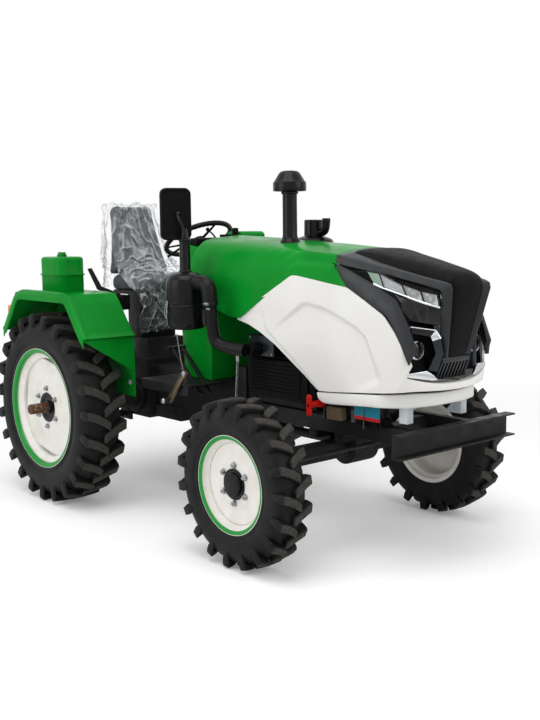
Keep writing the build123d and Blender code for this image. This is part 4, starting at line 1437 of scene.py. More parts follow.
@dataclass
class Nose:
    """The nose mask: a matt hump over a narrow stem, in a satin frame, with a cheek on each side."""

    # Each row: along the hump's edge (x, half width, z), and its middle (x, z).
    hump: Sequence[Row] = metres((
        (203, 160, 1366, 203, 1380),
        (218, 178, 1362, 216, 1381),
        (239, 183, 1357, 240, 1381),
        (300, 173, 1340, 300, 1373),
        (359, 163, 1322, 359, 1360),
        (460, 146, 1297, 460, 1341),
        (546, 131, 1274, 546, 1322),
        (636, 116, 1255, 640, 1300),
        (672, 110, 1246, 682, 1286),
        (690, 106, 1238, 706, 1266),
        (698, 102, 1222, 715, 1236),
        (692, 97, 1180, 707, 1180),
        (678, 86, 1100, 690, 1100),
        (661, 73, 1010, 669, 1010),
        (645, 60, 932, 650, 930),
    ))
    # Each row: the frame's inner edge, its crest and its outer edge, as (x, half width, z) each.
    frame: Sequence[Row] = metres((
        (178, 0, 1383, 178, 120, 1376, 178, 187, 1364, 178, 249, 1356, 182, 259, 1314),
        (201, 0, 1381, 201, 110, 1375, 203, 158, 1367, 203, 244, 1351, 207, 254, 1309),
        (239, 150, 1352, 239, 180, 1358, 239, 187, 1357, 239, 236, 1344, 243, 247, 1303),
        (300, 140, 1334, 300, 170, 1341, 300, 177, 1341, 300, 223, 1332, 304, 233, 1292),
        (359, 130, 1316, 359, 160, 1323, 359, 167, 1323, 359, 210, 1318, 363, 219, 1282),
        (460, 114, 1290, 460, 143, 1297, 460, 150, 1297, 460, 188, 1299, 464, 195, 1262),
        (546, 100, 1267, 546, 128, 1274, 546, 135, 1275, 546, 169, 1280, 550, 175, 1243),
        (636, 86, 1248, 636, 113, 1255, 636, 120, 1256, 640, 146, 1258, 640, 154, 1221),
        (668, 80, 1236, 672, 107, 1246, 676, 113, 1247, 692, 135, 1248, 668, 147, 1213),
        (682, 76, 1222, 690, 103, 1236, 696, 110, 1240, 715, 130, 1238, 676, 144, 1203),
        (684, 74, 1206, 698, 99, 1216, 704, 107, 1222, 722, 127, 1216, 672, 142, 1190),
        (678, 70, 1176, 691, 94, 1180, 698, 101, 1180, 714, 121, 1178, 664, 138, 1165),
        (664, 60, 1100, 677, 83, 1100, 684, 90, 1100, 698, 109, 1100, 652, 124, 1100),
        (648, 48, 1010, 660, 70, 1010, 667, 77, 1010, 677, 93, 1010, 636, 106, 1010),
        (632, 36, 932, 644, 57, 932, 650, 64, 932, 657, 80, 932, 620, 92, 932),
    ))
    # Borders of the cheek, from the back to its tip: outer and inner (x, half width, z).
    cheek_outer: Sequence[Point] = metres((
        (216, 291, 1306), (240, 294, 1266), (284, 296, 1219), (390, 289, 1162), (496, 279, 1105), (549, 276, 1034),
        (578, 273, 975), (601, 270, 927), (609, 268, 912),
    ))
    cheek_inner: Sequence[Point] = metres((
        (220, 290, 1319), (240, 290, 1311), (300, 283, 1287), (390, 275, 1249), (534, 260, 1174), (586, 255, 1087),
        (612, 252, 1030), (637, 249, 976), (604, 255, 910),
    ))
    inside: Point = (0.35, 0.0, 1.0)
    crown: float = 2.6
    cheek_crown: float = 0.004

    def hump_sheet(self) -> Object:
        """Makes the crowned hump and the stem's face, in one sheet."""
        rows = []
        for x, w, z, mx, mz in self.hump:
            row: list[Point] = []
            for step in range(9):
                share = step / 8
                rise = math.sqrt(max(0.0, 1 - share**self.crown))
                row.append((x + (mx - x) * rise, w * share, z + (mz - z) * rise))
            rows.append(both_halves(row))
        columns = [eased(column, 2) for column in zip(*rows)]
        made = skin("hump", [list(row) for row in zip(*columns)])
        return bevelled(walled(made, 0.006, self.inside), 0.002, 2, 50)

    def frame_half(self, side: Side) -> Object:
        """Makes one half of the satin frame: brow, corner and stem flank."""
        rows = []
        for row in self.frame:
            points = [row[i : i + 3] for i in range(0, 15, 3)]
            under_x, under_y, under_z = points[-1]
            points.append((under_x - 0.004, under_y - 0.030, under_z - 0.006))
            line = [*points[:3], *self.corner(*points[2:5]), *self.corner(*points[3:6]), points[5]]
            rows.append(flipped(line, side))
        made = skin("frame_half", rows)
        return bevelled(walled(made, 0.005, self.inside), 0.002, 2, 60)

    def corner(self, before: Point, here: Point, after: Point, width: float = 0.008) -> list[Point]:
        """Returns four points that round a corner of a section."""
        a, b, c = Vector(before), Vector(here), Vector(after)
        first = b + (a - b).normalized() * min(width, (a - b).length * 0.45)
        last = b + (c - b).normalized() * min(width, (c - b).length * 0.45)
        line = []
        for share in (0.0, 0.33, 0.67, 1.0):
            line.append(tuple((1 - share) ** 2 * first + 2 * share * (1 - share) * b + share**2 * last))
        return line

    def cheek(self, side: Side) -> Object:
        """Makes a cheek: a thick satin plate between its two borders."""
        rows = []
        for outer, inner in zip(self.cheek_outer, self.cheek_inner):
            x, y, z = (0.5 * (a + b) for a, b in zip(outer, inner))
            rows.append(flipped([outer, (x, y + self.cheek_crown, z), inner], side))
        made = skin("cheek", rows)
        return bevelled(walled(made, 0.016, (0.3, 0, 1.05)), 0.004, 3, 40)

    def build(self, bench: Bench) -> None:
        """Makes the nose and settles it."""
        bench.settle(self.hump_sheet(), "tilting_bonnet", "black_plastic", "matt_black_abs", smooth=50)
        satin = [self.frame_half(side) for side in Side] + [self.cheek(side) for side in Side]
        bench.settle(
            joined("nose_frame_and_cheeks", satin), "tilting_bonnet", "black_gloss", "satin_grey_abs", ("nose_cowl",),
            35,
        )


def strip(
    name: str, lines: Sequence[Sequence[Point]], thickness: float, inside: Point, edge: float = 0.0015
) -> Object:
    """Makes a walled sheet between lines that have the same count of points."""
    made = walled(skin(name, [list(line) for line in lines]), thickness, inside)
    return bevelled(made, edge, 2, 40) if edge else made


def plate(
    name: str, corners: Sequence[Point], thickness: float, inside: Point, edge: float = 0.0015
) -> Object:
    """Makes a flat plate of a polygon in space, thickened towards a point inside the shape."""
    made = walled(fresh(name, corners, [tuple(range(len(corners)))]), thickness, inside)
    return bevelled(made, edge, 2, 40) if edge else made


class Kit:
    """The parts of one piece, each painted as it is added."""

    def __init__(self, bench: Bench) -> None:
        """Starts an empty kit with the bench's finishes."""
        self.finishes = bench.finishes
        self.parts: list[Object] = []

    def add(self, finish: str, *made: Object) -> None:
        """Paints parts with a finish and keeps them."""
        self.parts += [painted(part, self.finishes[finish]) for part in made]

    def joined(self, name: str) -> Object:
        """Returns the parts as one mesh."""
        return joined(name, self.parts)


@dataclass
class Face:
    """What the nose mask carries on each side: lamp, hexagon frame, blade, round lens and dark recess."""

    lamp_top: Sequence[Point] = metres((
        (386, 276, 1289), (434, 262, 1283), (520, 225, 1239), (604, 188, 1209), (662, 149, 1194),
    ))
    lamp_foot: Sequence[Point] = metres((
        (415, 268, 1240), (449, 258, 1224), (562, 210, 1184), (618, 184, 1164), (672, 147, 1146),
    ))
    shelf_inner: Sequence[Point] = metres((
        (182, 250, 1312), (207, 244, 1307), (243, 237, 1301), (304, 223, 1290), (363, 209, 1280), (464, 185, 1260),
        (550, 165, 1241), (640, 144, 1219), (668, 137, 1210),
    ))
    shelf_outer: Sequence[Point] = metres((
        (184, 284, 1322), (205, 287, 1319), (243, 288, 1306), (304, 281, 1285), (386, 275, 1287), (434, 261, 1281),
        (520, 224, 1237), (604, 187, 1207), (662, 148, 1192),
    ))
    frame_outer: Sequence[Point] = metres((
        (579, 222, 1064), (641, 136, 1048), (654, 118, 1013), (661, 108, 949), (647, 128, 875),
    ))
    frame_inner: Sequence[Point] = metres((
        (582, 218, 1037), (629, 153, 1022), (634, 147, 1003), (642, 135, 950), (624, 160, 881),
    ))
    blade: Sequence[Point] = metres((
        (600, 258, 874), (628, 173, 880), (638, 140, 860), (644, 119, 838), (635, 149, 838), (600, 258, 858),
    ))
    recess_top: Sequence[Point] = metres((
        (440, 260, 1224), (510, 232, 1200), (562, 208, 1182), (618, 182, 1162), (668, 132, 1144),
    ))
    recess_fold: Sequence[Point] = metres((
        (520, 256, 1165), (548, 250, 1140), (580, 222, 1090), (606, 182, 1080), (646, 118, 1066),
    ))
    recess_back: Sequence[Point] = metres((
        (552, 256, 1140), (556, 250, 1120), (568, 222, 1080), (574, 182, 1070), (590, 88, 1060),
    ))
    recess_foot: Sequence[Point] = metres((
        (578, 254, 850), (578, 248, 850), (578, 222, 850), (578, 182, 850), (590, 60, 850),
    ))
    gusset_upper: Sequence[Point] = metres((
        (386, 274, 1287), (415, 266, 1239), (449, 257, 1223), (500, 238, 1203), (546, 240, 1160),
    ))
    gusset_lower: Sequence[Point] = metres((
        (300, 281, 1286), (390, 271, 1247), (470, 262, 1207), (534, 256, 1172), (552, 252, 1140),
    ))
    round_lens: Point = (0.578, 0.190, 0.965)
    inside: Point = (0.30, 0.0, 1.05)
    lamp_inside: Point = (0.3, 0, 1.2)
    lamp_depth: float = 0.034

    def inset(self, line: Sequence[Point], depth: float) -> list[Point]:
        """Moves a line of the lamp's outer face straight into the nose."""
        return [(x - 0.35 * depth, y - 0.94 * depth, z) for x, y, z in line]

    def lamp_point(self, share: float, level: float, depth: float = 0.0) -> Point:
        """Returns a point of the lamp: share along it, level down its face and depth behind it."""
        top, foot = (spaced(line, 101)[round(share * 100)] for line in (self.lamp_top, self.lamp_foot))
        return self.inset([tuple(a + (b - a) * level for a, b in zip(top, foot))], depth)[0]

    def divider(self, side: Side, share: float, depth: float, wide: float) -> Object:
        """Makes one upright wall between two of the lamp's chambers."""
        ahead = Vector((0.93, -0.35, -0.3)).normalized() * wide
        outline = [self.lamp_point(share, *spot) for spot in ((0, 0), (1, 0), (1, depth), (0, depth))]
        verts = flipped(outline + [tuple(Vector(p) + ahead) for p in outline], side)
        faces = [(0, 1, 2, 3), (4, 5, 6, 7), (0, 1, 5, 4), (1, 2, 6, 5), (2, 3, 7, 6), (3, 0, 4, 7)]
        return fresh("divider", verts, faces)

    def lamp(self, kit: Kit, side: Side) -> None:
        """Makes a lamp's chambers, slats, reflectors and bulbs."""
        deep_top, deep_foot = (self.inset(line, self.lamp_depth) for line in (self.lamp_top, self.lamp_foot))
        for finish, lines in (
            ("satin_chrome", (deep_top, deep_foot)),
            ("gloss_black_abs", (self.lamp_top, deep_top)),
            ("satin_chrome", (self.lamp_foot, deep_foot)),
        ):
            kit.add(finish, strip("chamber", [flipped(line, side) for line in lines], 0.002, self.lamp_inside, 0))
        edge = [(x + 0.001, y + 0.002, z - 0.002) for x, y, z in self.lamp_foot]
        kit.add("satin_chrome", tube("sill_edge", flipped(edge, side), 0.0045, False, 3))
        for share, depth, wide in (
            (0.16, 0.032, 0.007), (0.50, 0.032, 0.009), (0.755, 0.032, 0.009), (0.985, 0.03, 0.006)
        ):
            kit.add("gloss_black_abs", self.divider(side, share, depth, wide))
        for level in (0.2, 0.4, 0.6, 0.8):
            line = [self.lamp_point(share, level, 0.010) for share in (0.17, 0.25, 0.33, 0.41, 0.49)]
            kit.add("satin_chrome", tube("slat", flipped(line, side), 0.0032, False, 3))
        # The bowls' reflector finish carries painted reflection and painted shade in its brownish gold colour.
        for share, radius in ((0.63, 0.020), (0.87, 0.018)):
            x, y, z = self.lamp_point(share, 0.5, 0.012)
            place = Matrix.Translation((x, y * side.value, z)) @ Matrix.Rotation(math.radians(-40 * side.value), 4, "Z")
            bowl = [(0.004, radius), (-0.006, radius * 0.86), (-0.014, radius * 0.5), (-0.016, 0.0)]
            bulb = [(-0.014, 0.0), (-0.010, 0.009), (-0.002, 0.007), (0.001, 0.0)]
            for profile, steps, finish in ((bowl, 24, "reflector"), (bulb, 16, "clear_glass")):
                made = lathe("bowl", profile, (0, 0, 0), steps)
                made.data.transform(place @ Matrix.Scale(side.value, 4, (0, 1, 0)))
                kit.add(finish, made)

    def covers(self, kit: Kit, side: Side) -> None:
        """Makes a lamp's two clear covers: a green tip at the back, and the long one."""
        for low, high, finish in ((0, 14, "green_lens"), (14, 100, "clear_lens")):
            lines = [flipped(spaced(line, 101)[low : high + 1 : 2], side) for line in (self.lamp_top, self.lamp_foot)]
            kit.add(finish, strip("cover", lines, 0.002, self.lamp_inside, 0))

    def dark(self, kit: Kit, side: Side) -> None:
        """Makes a side's dark recess with its facet and its rib."""
        def sheet(
            first: Sequence[Point], second: Sequence[Point], thickness: float, edge: float = 0.0
        ) -> Object:
            return strip("sheet", [flipped(first, side), flipped(second, side)], thickness, self.inside, edge)

        # The shelf fills the groove between the satin frame and the cheek and lamp with matt black: painted shade in
        # that groove.
        kit.add("matt_black_abs", sheet(self.shelf_inner, self.shelf_outer, 0.003))
        kit.add("gloss_black_abs", sheet(self.recess_top, self.recess_fold, 0.004, 0.0015))
        top, fold = spaced(self.recess_top, 11), spaced(self.recess_fold, 11)
        rib = [(x + 0.003, y + 0.003, z) for x, y, z in (top[5], top[8], fold[8], fold[6])]
        kit.add("satin_grey_abs", plate("rib", flipped(rib, side), 0.004, self.inside))
        kit.add("matt_black_abs", sheet(self.gusset_upper, self.gusset_lower, 0.003))
        kit.add("matt_black_abs", sheet(self.recess_fold, self.recess_back, 0.003))
        kit.add("matt_black_abs", sheet(self.recess_back, self.recess_foot, 0.004))

    def bright(self, kit: Kit, side: Side) -> None:
        """Makes a side's hexagon frame, its blade and its round lens."""
        s = side.value
        for i, finish in enumerate(("gloss_black_abs", "satin_chrome", "gunmetal", "gunmetal")):
            lines = [flipped(line[i : i + 2], side) for line in (self.frame_outer, self.frame_inner)]
            kit.add(finish, strip("frame", lines, 0.014, (0.45, 0.18 * s, 0.96), 0.0012))
        kit.add("satin_chrome", tube("frame_edge", flipped(self.frame_outer[:3], side), 0.0028, False, 2))
        kit.add("satin_chrome", plate("blade", flipped(self.blade, side), 0.012, (0.40, 0.15 * s, 0.90)))
        x, y, z = self.round_lens
        rim = [(0, 0.042), (0.012, 0.042), (0.015, 0.039), (0.015, 0.035), (0.008, 0.034)]
        glass = [(0, 0.036), (0.008, 0.035), (0.015, 0.026), (0.018, 0.012), (0.019, 0)]
        kit.add("satin_chrome", lathe("lens_rim", rim, (x, y * s, z), 40, "x"))
        kit.add("gloss_black_abs", lathe("lens", glass, (x, y * s, z), 40, "x"))

    def grille(self, bench: Bench) -> Object:
        """Makes the slatted grille under the stem."""
        bar = prism("slat", [(0.612, 0.912), (0.641, 0.906), (0.611, 0.836), (0.600, 0.836)], -0.0045, 0.0045)
        satin = bench.finishes["satin_grey_abs"]
        kit = Kit(bench)
        kit.parts.append(
            bench.copies.make("slats", bevelled(bar, 0.001, 1), 9, satin, (0, -0.088, 0), step=(0, 0.022, 0))
        )
        head = [(0.618, 0.930), (0.640, 0.932), (0.646, 0.922), (0.642, 0.904), (0.620, 0.904)]
        kit.add("satin_grey_abs", bevelled(prism("head", head, -0.092, 0.092), 0.003, 2))
        back = [(0.604, -0.125, 0.925), (0.604, 0.125, 0.925), (0.592, 0.125, 0.83), (0.592, -0.125, 0.83)]
        kit.add("matt_black_abs", plate("grille_back", back, 0.004, self.inside, 0))
        return kit.joined("grille_bars")

    def build(self, bench: Bench) -> None:
        """Makes both sides and settles them on the bonnet."""
        lamps, covers, dark, bright = (Kit(bench) for _ in range(4))
        for side in Side:
            self.lamp(lamps, side)
            self.covers(covers, side)
            self.dark(dark, side)
            self.bright(bright, side)
        for made, slot, replaces in (
            (lamps.joined("headlamp_reflectors"), "trim_silver", ("headlamps",)),
            (covers.joined("headlamp_covers"), "lamp_lens", ()),
            (dark.joined("nose_recess"), "black_plastic", ()),
            (bright.joined("nose_frames_and_blades"), "trim_silver", ("nose_trim",)),
            (self.grille(bench), "black_plastic", ("grille",)),
        ):
            bench.settle(made, "tilting_bonnet", slot, replaces=replaces, smooth=30)


# ---------------------------------------------------------------- white mouldings


@dataclass
class Panels:
    """The white mouldings: a side panel each side with its pressed field, the lip under the nose and the apron."""

    plan: Sequence[Row] = metres((
        (-450, 314), (-100, 306), (285, 302), (490, 296), (540, 286), (575, 272), (600, 252), (612, 225),
    ))
    top: Sequence[Flat] = metres((
        (-414, 1071), (-400, 1079), (-70, 1256), (-50, 1262), (-30, 1261), (275, 1220), (292, 1216), (480, 1114),
        (498, 1101), (547, 1036), (580, 972), (603, 922), (606, 905), (594, 856),
    ))
    foot: Sequence[Flat] = metres((
        (-446, 1041), (-434, 1036), (-366, 1021), (-286, 991), (-180, 938), (-76, 872), (20, 812), (98, 757),
        (112, 753), (185, 756), (414, 777), (500, 785), (535, 789), (554, 791),
    ))
    field_edge: Sequence[Flat] = metres((
        (-190, 1010), (-128, 1056), (-59, 1101), (5, 1139), (42, 1146), (139, 1131), (249, 1095), (352, 1053),
        (388, 1020), (432, 923), (479, 822),
    ))
    border: Sequence[Flat] = metres((
        (-236, 1110), (-246, 1060), (-243, 1032), (-229, 1005), (-146, 948), (-70, 898), (48, 813), (120, 752),
    ))
    lip: Sequence[tuple[float, ...]] = metres((
        (545, 283, 791, 594, 262, 855),
        (575, 272, 793, 602, 247, 850),
        (606, 236, 797, 614, 222, 843),
        (622, 196, 796, 626, 190, 835),
        (637, 149, 794, 638, 147, 827),
        (647, 100, 792, 647, 100, 821),
        (653, 50, 791, 653, 50, 819),
        (655, 0, 790, 655, 0, 818),
    ))
    apron: Sequence[tuple[float, ...]] = metres((
        (102, 300, 728, 745),
        (105, 300, 718, 746),
        (113, 300, 709, 747),
        (126, 300, 702, 748),
        (145, 300, 699, 749),
        (185, 300, 699, 752),
        (300, 300, 708, 761),
        (415, 300, 717, 770),
        (462, 298, 718, 774),
        (486, 288, 719, 776),
        (520, 262, 719, 778),
        (560, 231, 719, 781),
        (578, 206, 719, 783),
        (590, 170, 720, 781),
        (606, 116, 720, 779),
        (612, 70, 720, 777),
        (615, 0, 721, 776),
    ))
    # The apron's edge, as (outwards, up) from its foot, and from its head downwards.
    apron_foot: Sequence[Flat] = metres((
        (-16, 1), (-7, 0), (-2, 3), (0, 10),
    ))
    apron_head: Sequence[Flat] = metres((
        (0, -7), (-2, -2), (-7, 0), (-16, -1),
    ))
    field_depth: float = 0.013
    border_depth: float = 0.006

    def beyond(self, line: Sequence[Flat], x: float, z: float) -> tuple[float, float]:
        """Measures a point against a line.

        Args:
            line: The line's points.
            x: The point's x.
            z: The point's z.

        Returns:
            The distance from the line, positive on the right of its direction, and how far along it the
            nearest spot lies, from 0 to 1.
        """
        best, where = 9.0, 0.0
        for k, (a, b) in enumerate(zip(line, line[1:])):
            dx, dz = b[0] - a[0], b[1] - a[1]
            share = ramp(((x - a[0]) * dx + (z - a[1]) * dz) / (dx * dx + dz * dz))
            ox, oz = x - a[0] - dx * share, z - a[1] - dz * share
            far = math.hypot(ox, oz)
            if far < abs(best):
                best = far if ox * dz - oz * dx > 0 else -far
                where = (k + share) / (len(line) - 1)
        return best, where

    def depth(self, x: float, z: float) -> float:
        """Returns how far the side panel's face lies inside its plan line at (x, z)."""
        off, where = self.beyond(self.field_edge, x, z)
        slope = 0.016 + 0.030 * max(0.0, (where - 0.82) / 0.18)
        fade = min(1.0, where / 0.22) * min(1.0, (1.0 - where) / 0.03)
        step = swell(off / slope + 0.5 * (where > 0.8))
        sunk = self.field_depth * step * fade * ramp(1.0 - (off - 0.02) / 0.16)
        edge, share = self.beyond(self.border, x, z)
        return sunk + self.border_depth * swell(edge / 0.008) * min(1.0, share * 6)

    def panel(self, side: Side) -> Object:
        """Makes a side panel with its pressed field and its flared border."""
        ends = [spaced([(x, 0.0, z) for x, z in line], 181) for line in (self.foot, self.top)]
        rows = []
        for foot, top in zip(*ends):
            row = []
            for step in range(61):
                x, z = (foot[i] + (top[i] - foot[i]) * step / 60 for i in (0, 2))
                row.append((x, side.value * (at(self.plan, x)[0] - self.depth(x, z)), z))
            rows.append(row)
        return bevelled(walled(skin("panel", rows), 0.010, (0.1, 0, 0.95)), 0.004, 3, 60)

    def front_lip(self) -> Object:
        """Makes the lip that joins the two panels under the nose."""
        rows = []
        for x0, y0, z0, x1, y1, z1 in self.lip:
            out_x, out_y = 0.004 * (1 - y0 / 0.3), 0.004 * (y0 > 0.01)
            mid = (0.5 * (x0 + x1) + out_x, 0.5 * (y0 + y1) + out_y, 0.5 * (z0 + z1))
            back, over = (x0 - 0.012, max(y0 - 0.012, 0), z0), (x1 - 0.030, max(y1 * 0.93, 0), z1 + 0.001)
            rows.append([back, (x0, y0, z0), mid, (x1, y1, z1), over])
        columns = [both_halves([row[k] for row in reversed(rows)]) for k in range(5)]
        columns = [eased(column, 2) for column in columns]
        made = skin("lip", columns)
        return bevelled(walled(made, 0.006, (0.3, 0, 0.8)), 0.004, 3, 35)

    def apron_band(self) -> Object:
        """Makes the apron: a rounded band round the front, open behind."""
        rows = []
        for x, y, low, high in self.apron:
            nx, ny = (1.0, 0.0) if y < 0.12 else ((0.8, 0.6) if y < 0.29 else (0.0, 1.0))
            lean = [(d, low + up) for d, up in self.apron_foot] + [(d, high + up) for d, up in self.apron_head]
            rows.append([(x + nx * d, max(y + ny * d, 0.0) if y > 0 else 0.0, z) for d, z in lean])
        columns = [eased(both_halves([row[k] for row in reversed(rows)]), 1) for k in range(8)]
        return walled(skin("apron_band", columns), 0.004, (0.3, 0, 0.74))

    def build(self, bench: Bench) -> None:
        """Makes the mouldings and the posts under them, and settles them."""
        panels = [self.panel(side) for side in Side] + [self.front_lip()]
        for made in panels:
            painted(made, bench.finishes["white_gelcoat"])
        bench.settle(
            joined("side_panels_moulded", panels), "tilting_bonnet", "white_panel", replaces=("side_panels",), smooth=45
        )
        bench.settle(self.apron_band(), "chassis", "white_panel", "white_gelcoat", replaces=("apron",), smooth=45)
        posts = [brick("cross_plate", (0.490, 0.560), (-0.225, 0.225), (0.716, 0.722), 0.001)]
        for side in Side:
            near, far, rib = (side.value * y for y in (0.160, 0.200, 0.166))
            posts.append(brick("post", (0.500, 0.545), tuple(sorted((near, far))), (0.646, 0.716), 0.002))
            gusset = [(0.455, 0.646), (0.500, 0.646), (0.500, 0.700)]
            posts.append(prism("gusset", gusset, *sorted((near, rib))))
        bench.settle(joined("apron_posts", posts), "chassis", "white_paint", "white_post_enamel")


# ---------------------------------------------------------------- electrics, fender lips and small fittings


@dataclass
class Fittings:
    """The battery, the isolator switch, the fenders' folded lips and the small bright parts round the engine."""

    top_line: Sequence[Flat] = metres((
        (-1060, 925), (-1230, 1145), (-1760, 1145), (-1930, 925),
    ))
    # A fender's section: half width and lift of each line, from the inside outwards.
    lip_section: Sequence[Flat] = metres((
        (500.5, 2), (560, 2), (575, 0), (735, 0), (750, 2), (765, 2), (770, 6), (777, 12), (787, 13.5), (797, 11.5),
        (804, 4), (805.5, -12), (805, -30), (799, -32),
    ))
    lip_points: int = 121
    end_roll: float = 0.011
    rail: float = 0.6200
    handle_at: Flat = (0.092, 0.689)

    def battery(self, bench: Bench) -> Object:
        """Makes a black battery with a bare two-coloured label on its long side, posts, and a strap."""
        kit = Kit(bench)
        kit.add("gloss_black_abs", brick("case", (0.262, 0.440), (-0.250, -0.075), (self.rail, 0.742), 0.004))
        kit.add("gloss_black_abs", brick("lid", (0.266, 0.436), (-0.246, -0.079), (0.742, 0.7545), 0.003))
        kit.add("battery_case", brick("label", (0.286, 0.436), (-0.2512, -0.2495), (self.rail + 0.0245, 0.738), 0.0))
        post = [(0.750, 0.0), (0.750, 0.010), (0.760, 0.009), (0.7605, 0.0)]
        for x in (0.285, 0.417):
            kit.add("silver_paint", lathe("post", post, (x, -0.215, 0), 24, "z"))
        rod = [(0.345, -0.2545, self.rail - 0.012), (0.345, -0.2545, 0.758)]
        kit.add("passivated_zinc", tube("rod", rod, 0.0026, False, 3))
        kit.add("zinc_plate", brick("strap", (0.322, 0.344), (-0.255, -0.070), (0.7545, 0.7585), 0.001))
        return kit.joined("battery_and_strap")

    def isolator(self, bench: Bench) -> Object:
        """Makes the isolator switch: a tan body, a red tapered shaft, and a pill handle with a dark centre."""
        kit = Kit(bench)
        kit.add("tan_plastic", brick("body", (0.112, 0.205), (-0.254, -0.216), (self.rail, 0.679), 0.004))
        kit.add("gloss_black_abs", brick("plate", (0.096, 0.111), (-0.255, -0.215), (self.rail, 0.700), 0.002))
        dial = [(0.0, 0.0), (0.0, 0.017), (-0.0015, 0.017), (-0.0025, 0.015), (-0.0025, 0.0)]
        kit.add("tan_plastic", lathe("dial", dial, (0.158, -0.254, 0.660), 40))
        x, z = self.handle_at
        shaft = [
            (-0.247, 0.0), (-0.247, 0.0190), (-0.270, 0.0180), (-0.290, 0.0150), (-0.310, 0.0140), (-0.334, 0.0130),
            (-0.334, 0.0),
        ]
        kit.add("red_plastic", lathe("shaft", shaft, (x, 0, z + 0.001), 40))
        outline = []
        for end in (1, -1):
            for step in range(13):
                a = math.pi * step / 12 + (0 if end > 0 else math.pi)
                outline.append((x + 0.0135 * math.cos(a), z + end * 0.0355 + 0.0135 * math.sin(a)))
        kit.add("red_plastic", bevelled(prism("handle", outline, -0.3465, -0.3325), 0.004, 3))
        centre = [(-0.345, 0.0), (-0.345, 0.0062), (-0.3475, 0.0060), (-0.3480, 0.0)]
        kit.add("gloss_black_abs", lathe("centre", centre, (x, 0, z), 24))
        return kit.joined("isolator_moulded")

    def fender_lip(self, side: Side) -> Object:
        """Makes a fender's pressed top: rolled along its outer edge and turned down."""
        line = spaced(eased([(x, 0.0, z) for x, z in self.top_line], 3, 0.10), self.lip_points)
        last = self.lip_points - 1
        rows = []
        for k, (x, _, z) in enumerate(line):
            before, after = line[max(k - 1, 0)], line[min(k + 1, last)]
            along = Vector((after[0] - before[0], 0, after[2] - before[2])).normalized()
            up = Vector((along.z, 0, -along.x))
            up = up if up.z > 0 or abs(up.z) < 1e-6 and (x > -1.4) == (up.x > 0) else -up
            end = min(k, last - k) / 4
            roll = self.end_roll * max(0.0, 1.0 - end) if end < 1 else 0.0
            row = []
            for y, lift in self.lip_section:
                pressed = lift - (0.004 if 0.57 < y < 0.74 and 0.06 < k / last < 0.22 else 0.0)
                p = Vector((x, y, z)) + up * (0.0022 + max(pressed, roll) if lift >= 0 else lift)
                row.append((p.x, side.value * p.y, p.z))
            rows.append(row)
        return walled(skin("lip", rows), 0.002, (-1.5, side.value * 0.65, 0.9))

    def fender_bolt(self, side: Side) -> Object:
        """Makes the bolt on the front filler's foot."""
        profile = [
            (0.0, 0.0), (0.0, 0.013), (0.002, 0.013), (0.0025, 0.009), (0.009, 0.009), (0.010, 0.007), (0.010, 0.0),
        ]
        return lathe("bolt", profile, (-1.0605, side.value * 0.530, 0.690), 24, "x")

    def small_parts(self, bench: Bench) -> Object:
        """Makes the grey module, the link rods with their hook, and the tan pedal lever with its cable."""
        kit = Kit(bench)
        kit.add("gunmetal", brick("module", (-0.4135, -0.232), (-0.2645, -0.188), (0.868, 0.9655), 0.004))
        kit.add("zinc_plate", brick("terminal", (-0.345, -0.300), (-0.2660, -0.2640), (0.906, 0.912), 0.0))
        screw = [(0.0, 0.0), (0.0, 0.005), (-0.003, 0.004), (-0.003, 0.0)]
        for x in (-0.400, -0.245):
            for z in (0.880, 0.954):
                kit.add("zinc_plate", lathe("screw", screw, (x, -0.2645, z), 12))
        lever = prism("lever", [(-0.643, 0.790), (-0.620, 0.777), (-0.768, 0.609), (-0.799, 0.624)], -0.493, -0.4765)
        kit.add("passivated_zinc", bevelled(lever, 0.003, 2))
        eye = [(-0.4955, 0.0), (-0.4955, 0.015), (-0.498, 0.014), (-0.500, 0.008), (-0.500, 0.0)]
        pivot = [(-0.5215, 0.0), (-0.5215, 0.0145), (-0.524, 0.013), (-0.529, 0.008), (-0.530, 0.0)]
        kit.add("zinc_plate", lathe("eye", eye, (-0.642, 0, 0.770), 24), lathe("pivot", pivot, (-0.782, 0, 0.622), 24))
        for y in (-0.330, -0.322):
            link = [(-0.425, y, 0.845), (-0.430, y, 0.770), (-0.440, y, 0.650)]
            kit.add("zinc_plate", tube("link", link, 0.0026, False, 3))
        barrel = [(0.835, 0.0), (0.835, 0.008), (0.842, 0.009), (0.862, 0.009), (0.868, 0.007), (0.868, 0.0)]
        kit.add("zinc_plate", lathe("turnbuckle", barrel, (-0.424, -0.326, 0), 6, "z"))
        hook = [
            (-0.424, -0.326, 0.866), (-0.420, -0.326, 0.885), (-0.404, -0.326, 0.896), (-0.392, -0.322, 0.884),
            (-0.396, -0.316, 0.870),
        ]
        cable = [(-0.960, -0.300, 0.930), (-0.830, -0.380, 0.845), (-0.660, -0.478, 0.772)]
        kit.add("zinc_plate", tube("hook", hook, 0.0032, True, 3), tube("cable", cable, 0.0022, True, 3))
        return kit.joined("levers_and_links")

    def build(self, bench: Bench) -> None:
        """Makes the fittings and settles them."""
        bench.settle(self.battery(bench), "chassis", "battery_blue", None, ("battery",), 30)
        bench.settle(self.isolator(bench), "chassis", "switch_red", None, ("isolator_switch",), 30)
        tops = joined("fender_tops", [self.fender_lip(side) for side in Side])
        bench.settle(tops, "chassis", "green_paint", "green_enamel", (), 50)
        bolts = joined("fender_bolts", [self.fender_bolt(side) for side in Side])
        bench.settle(bolts, "chassis", "steel", "zinc_plate", (), 30)
        bench.settle(self.small_parts(bench), "chassis", "steel", None, (), 30)


# ---------------------------------------------------------------- seat


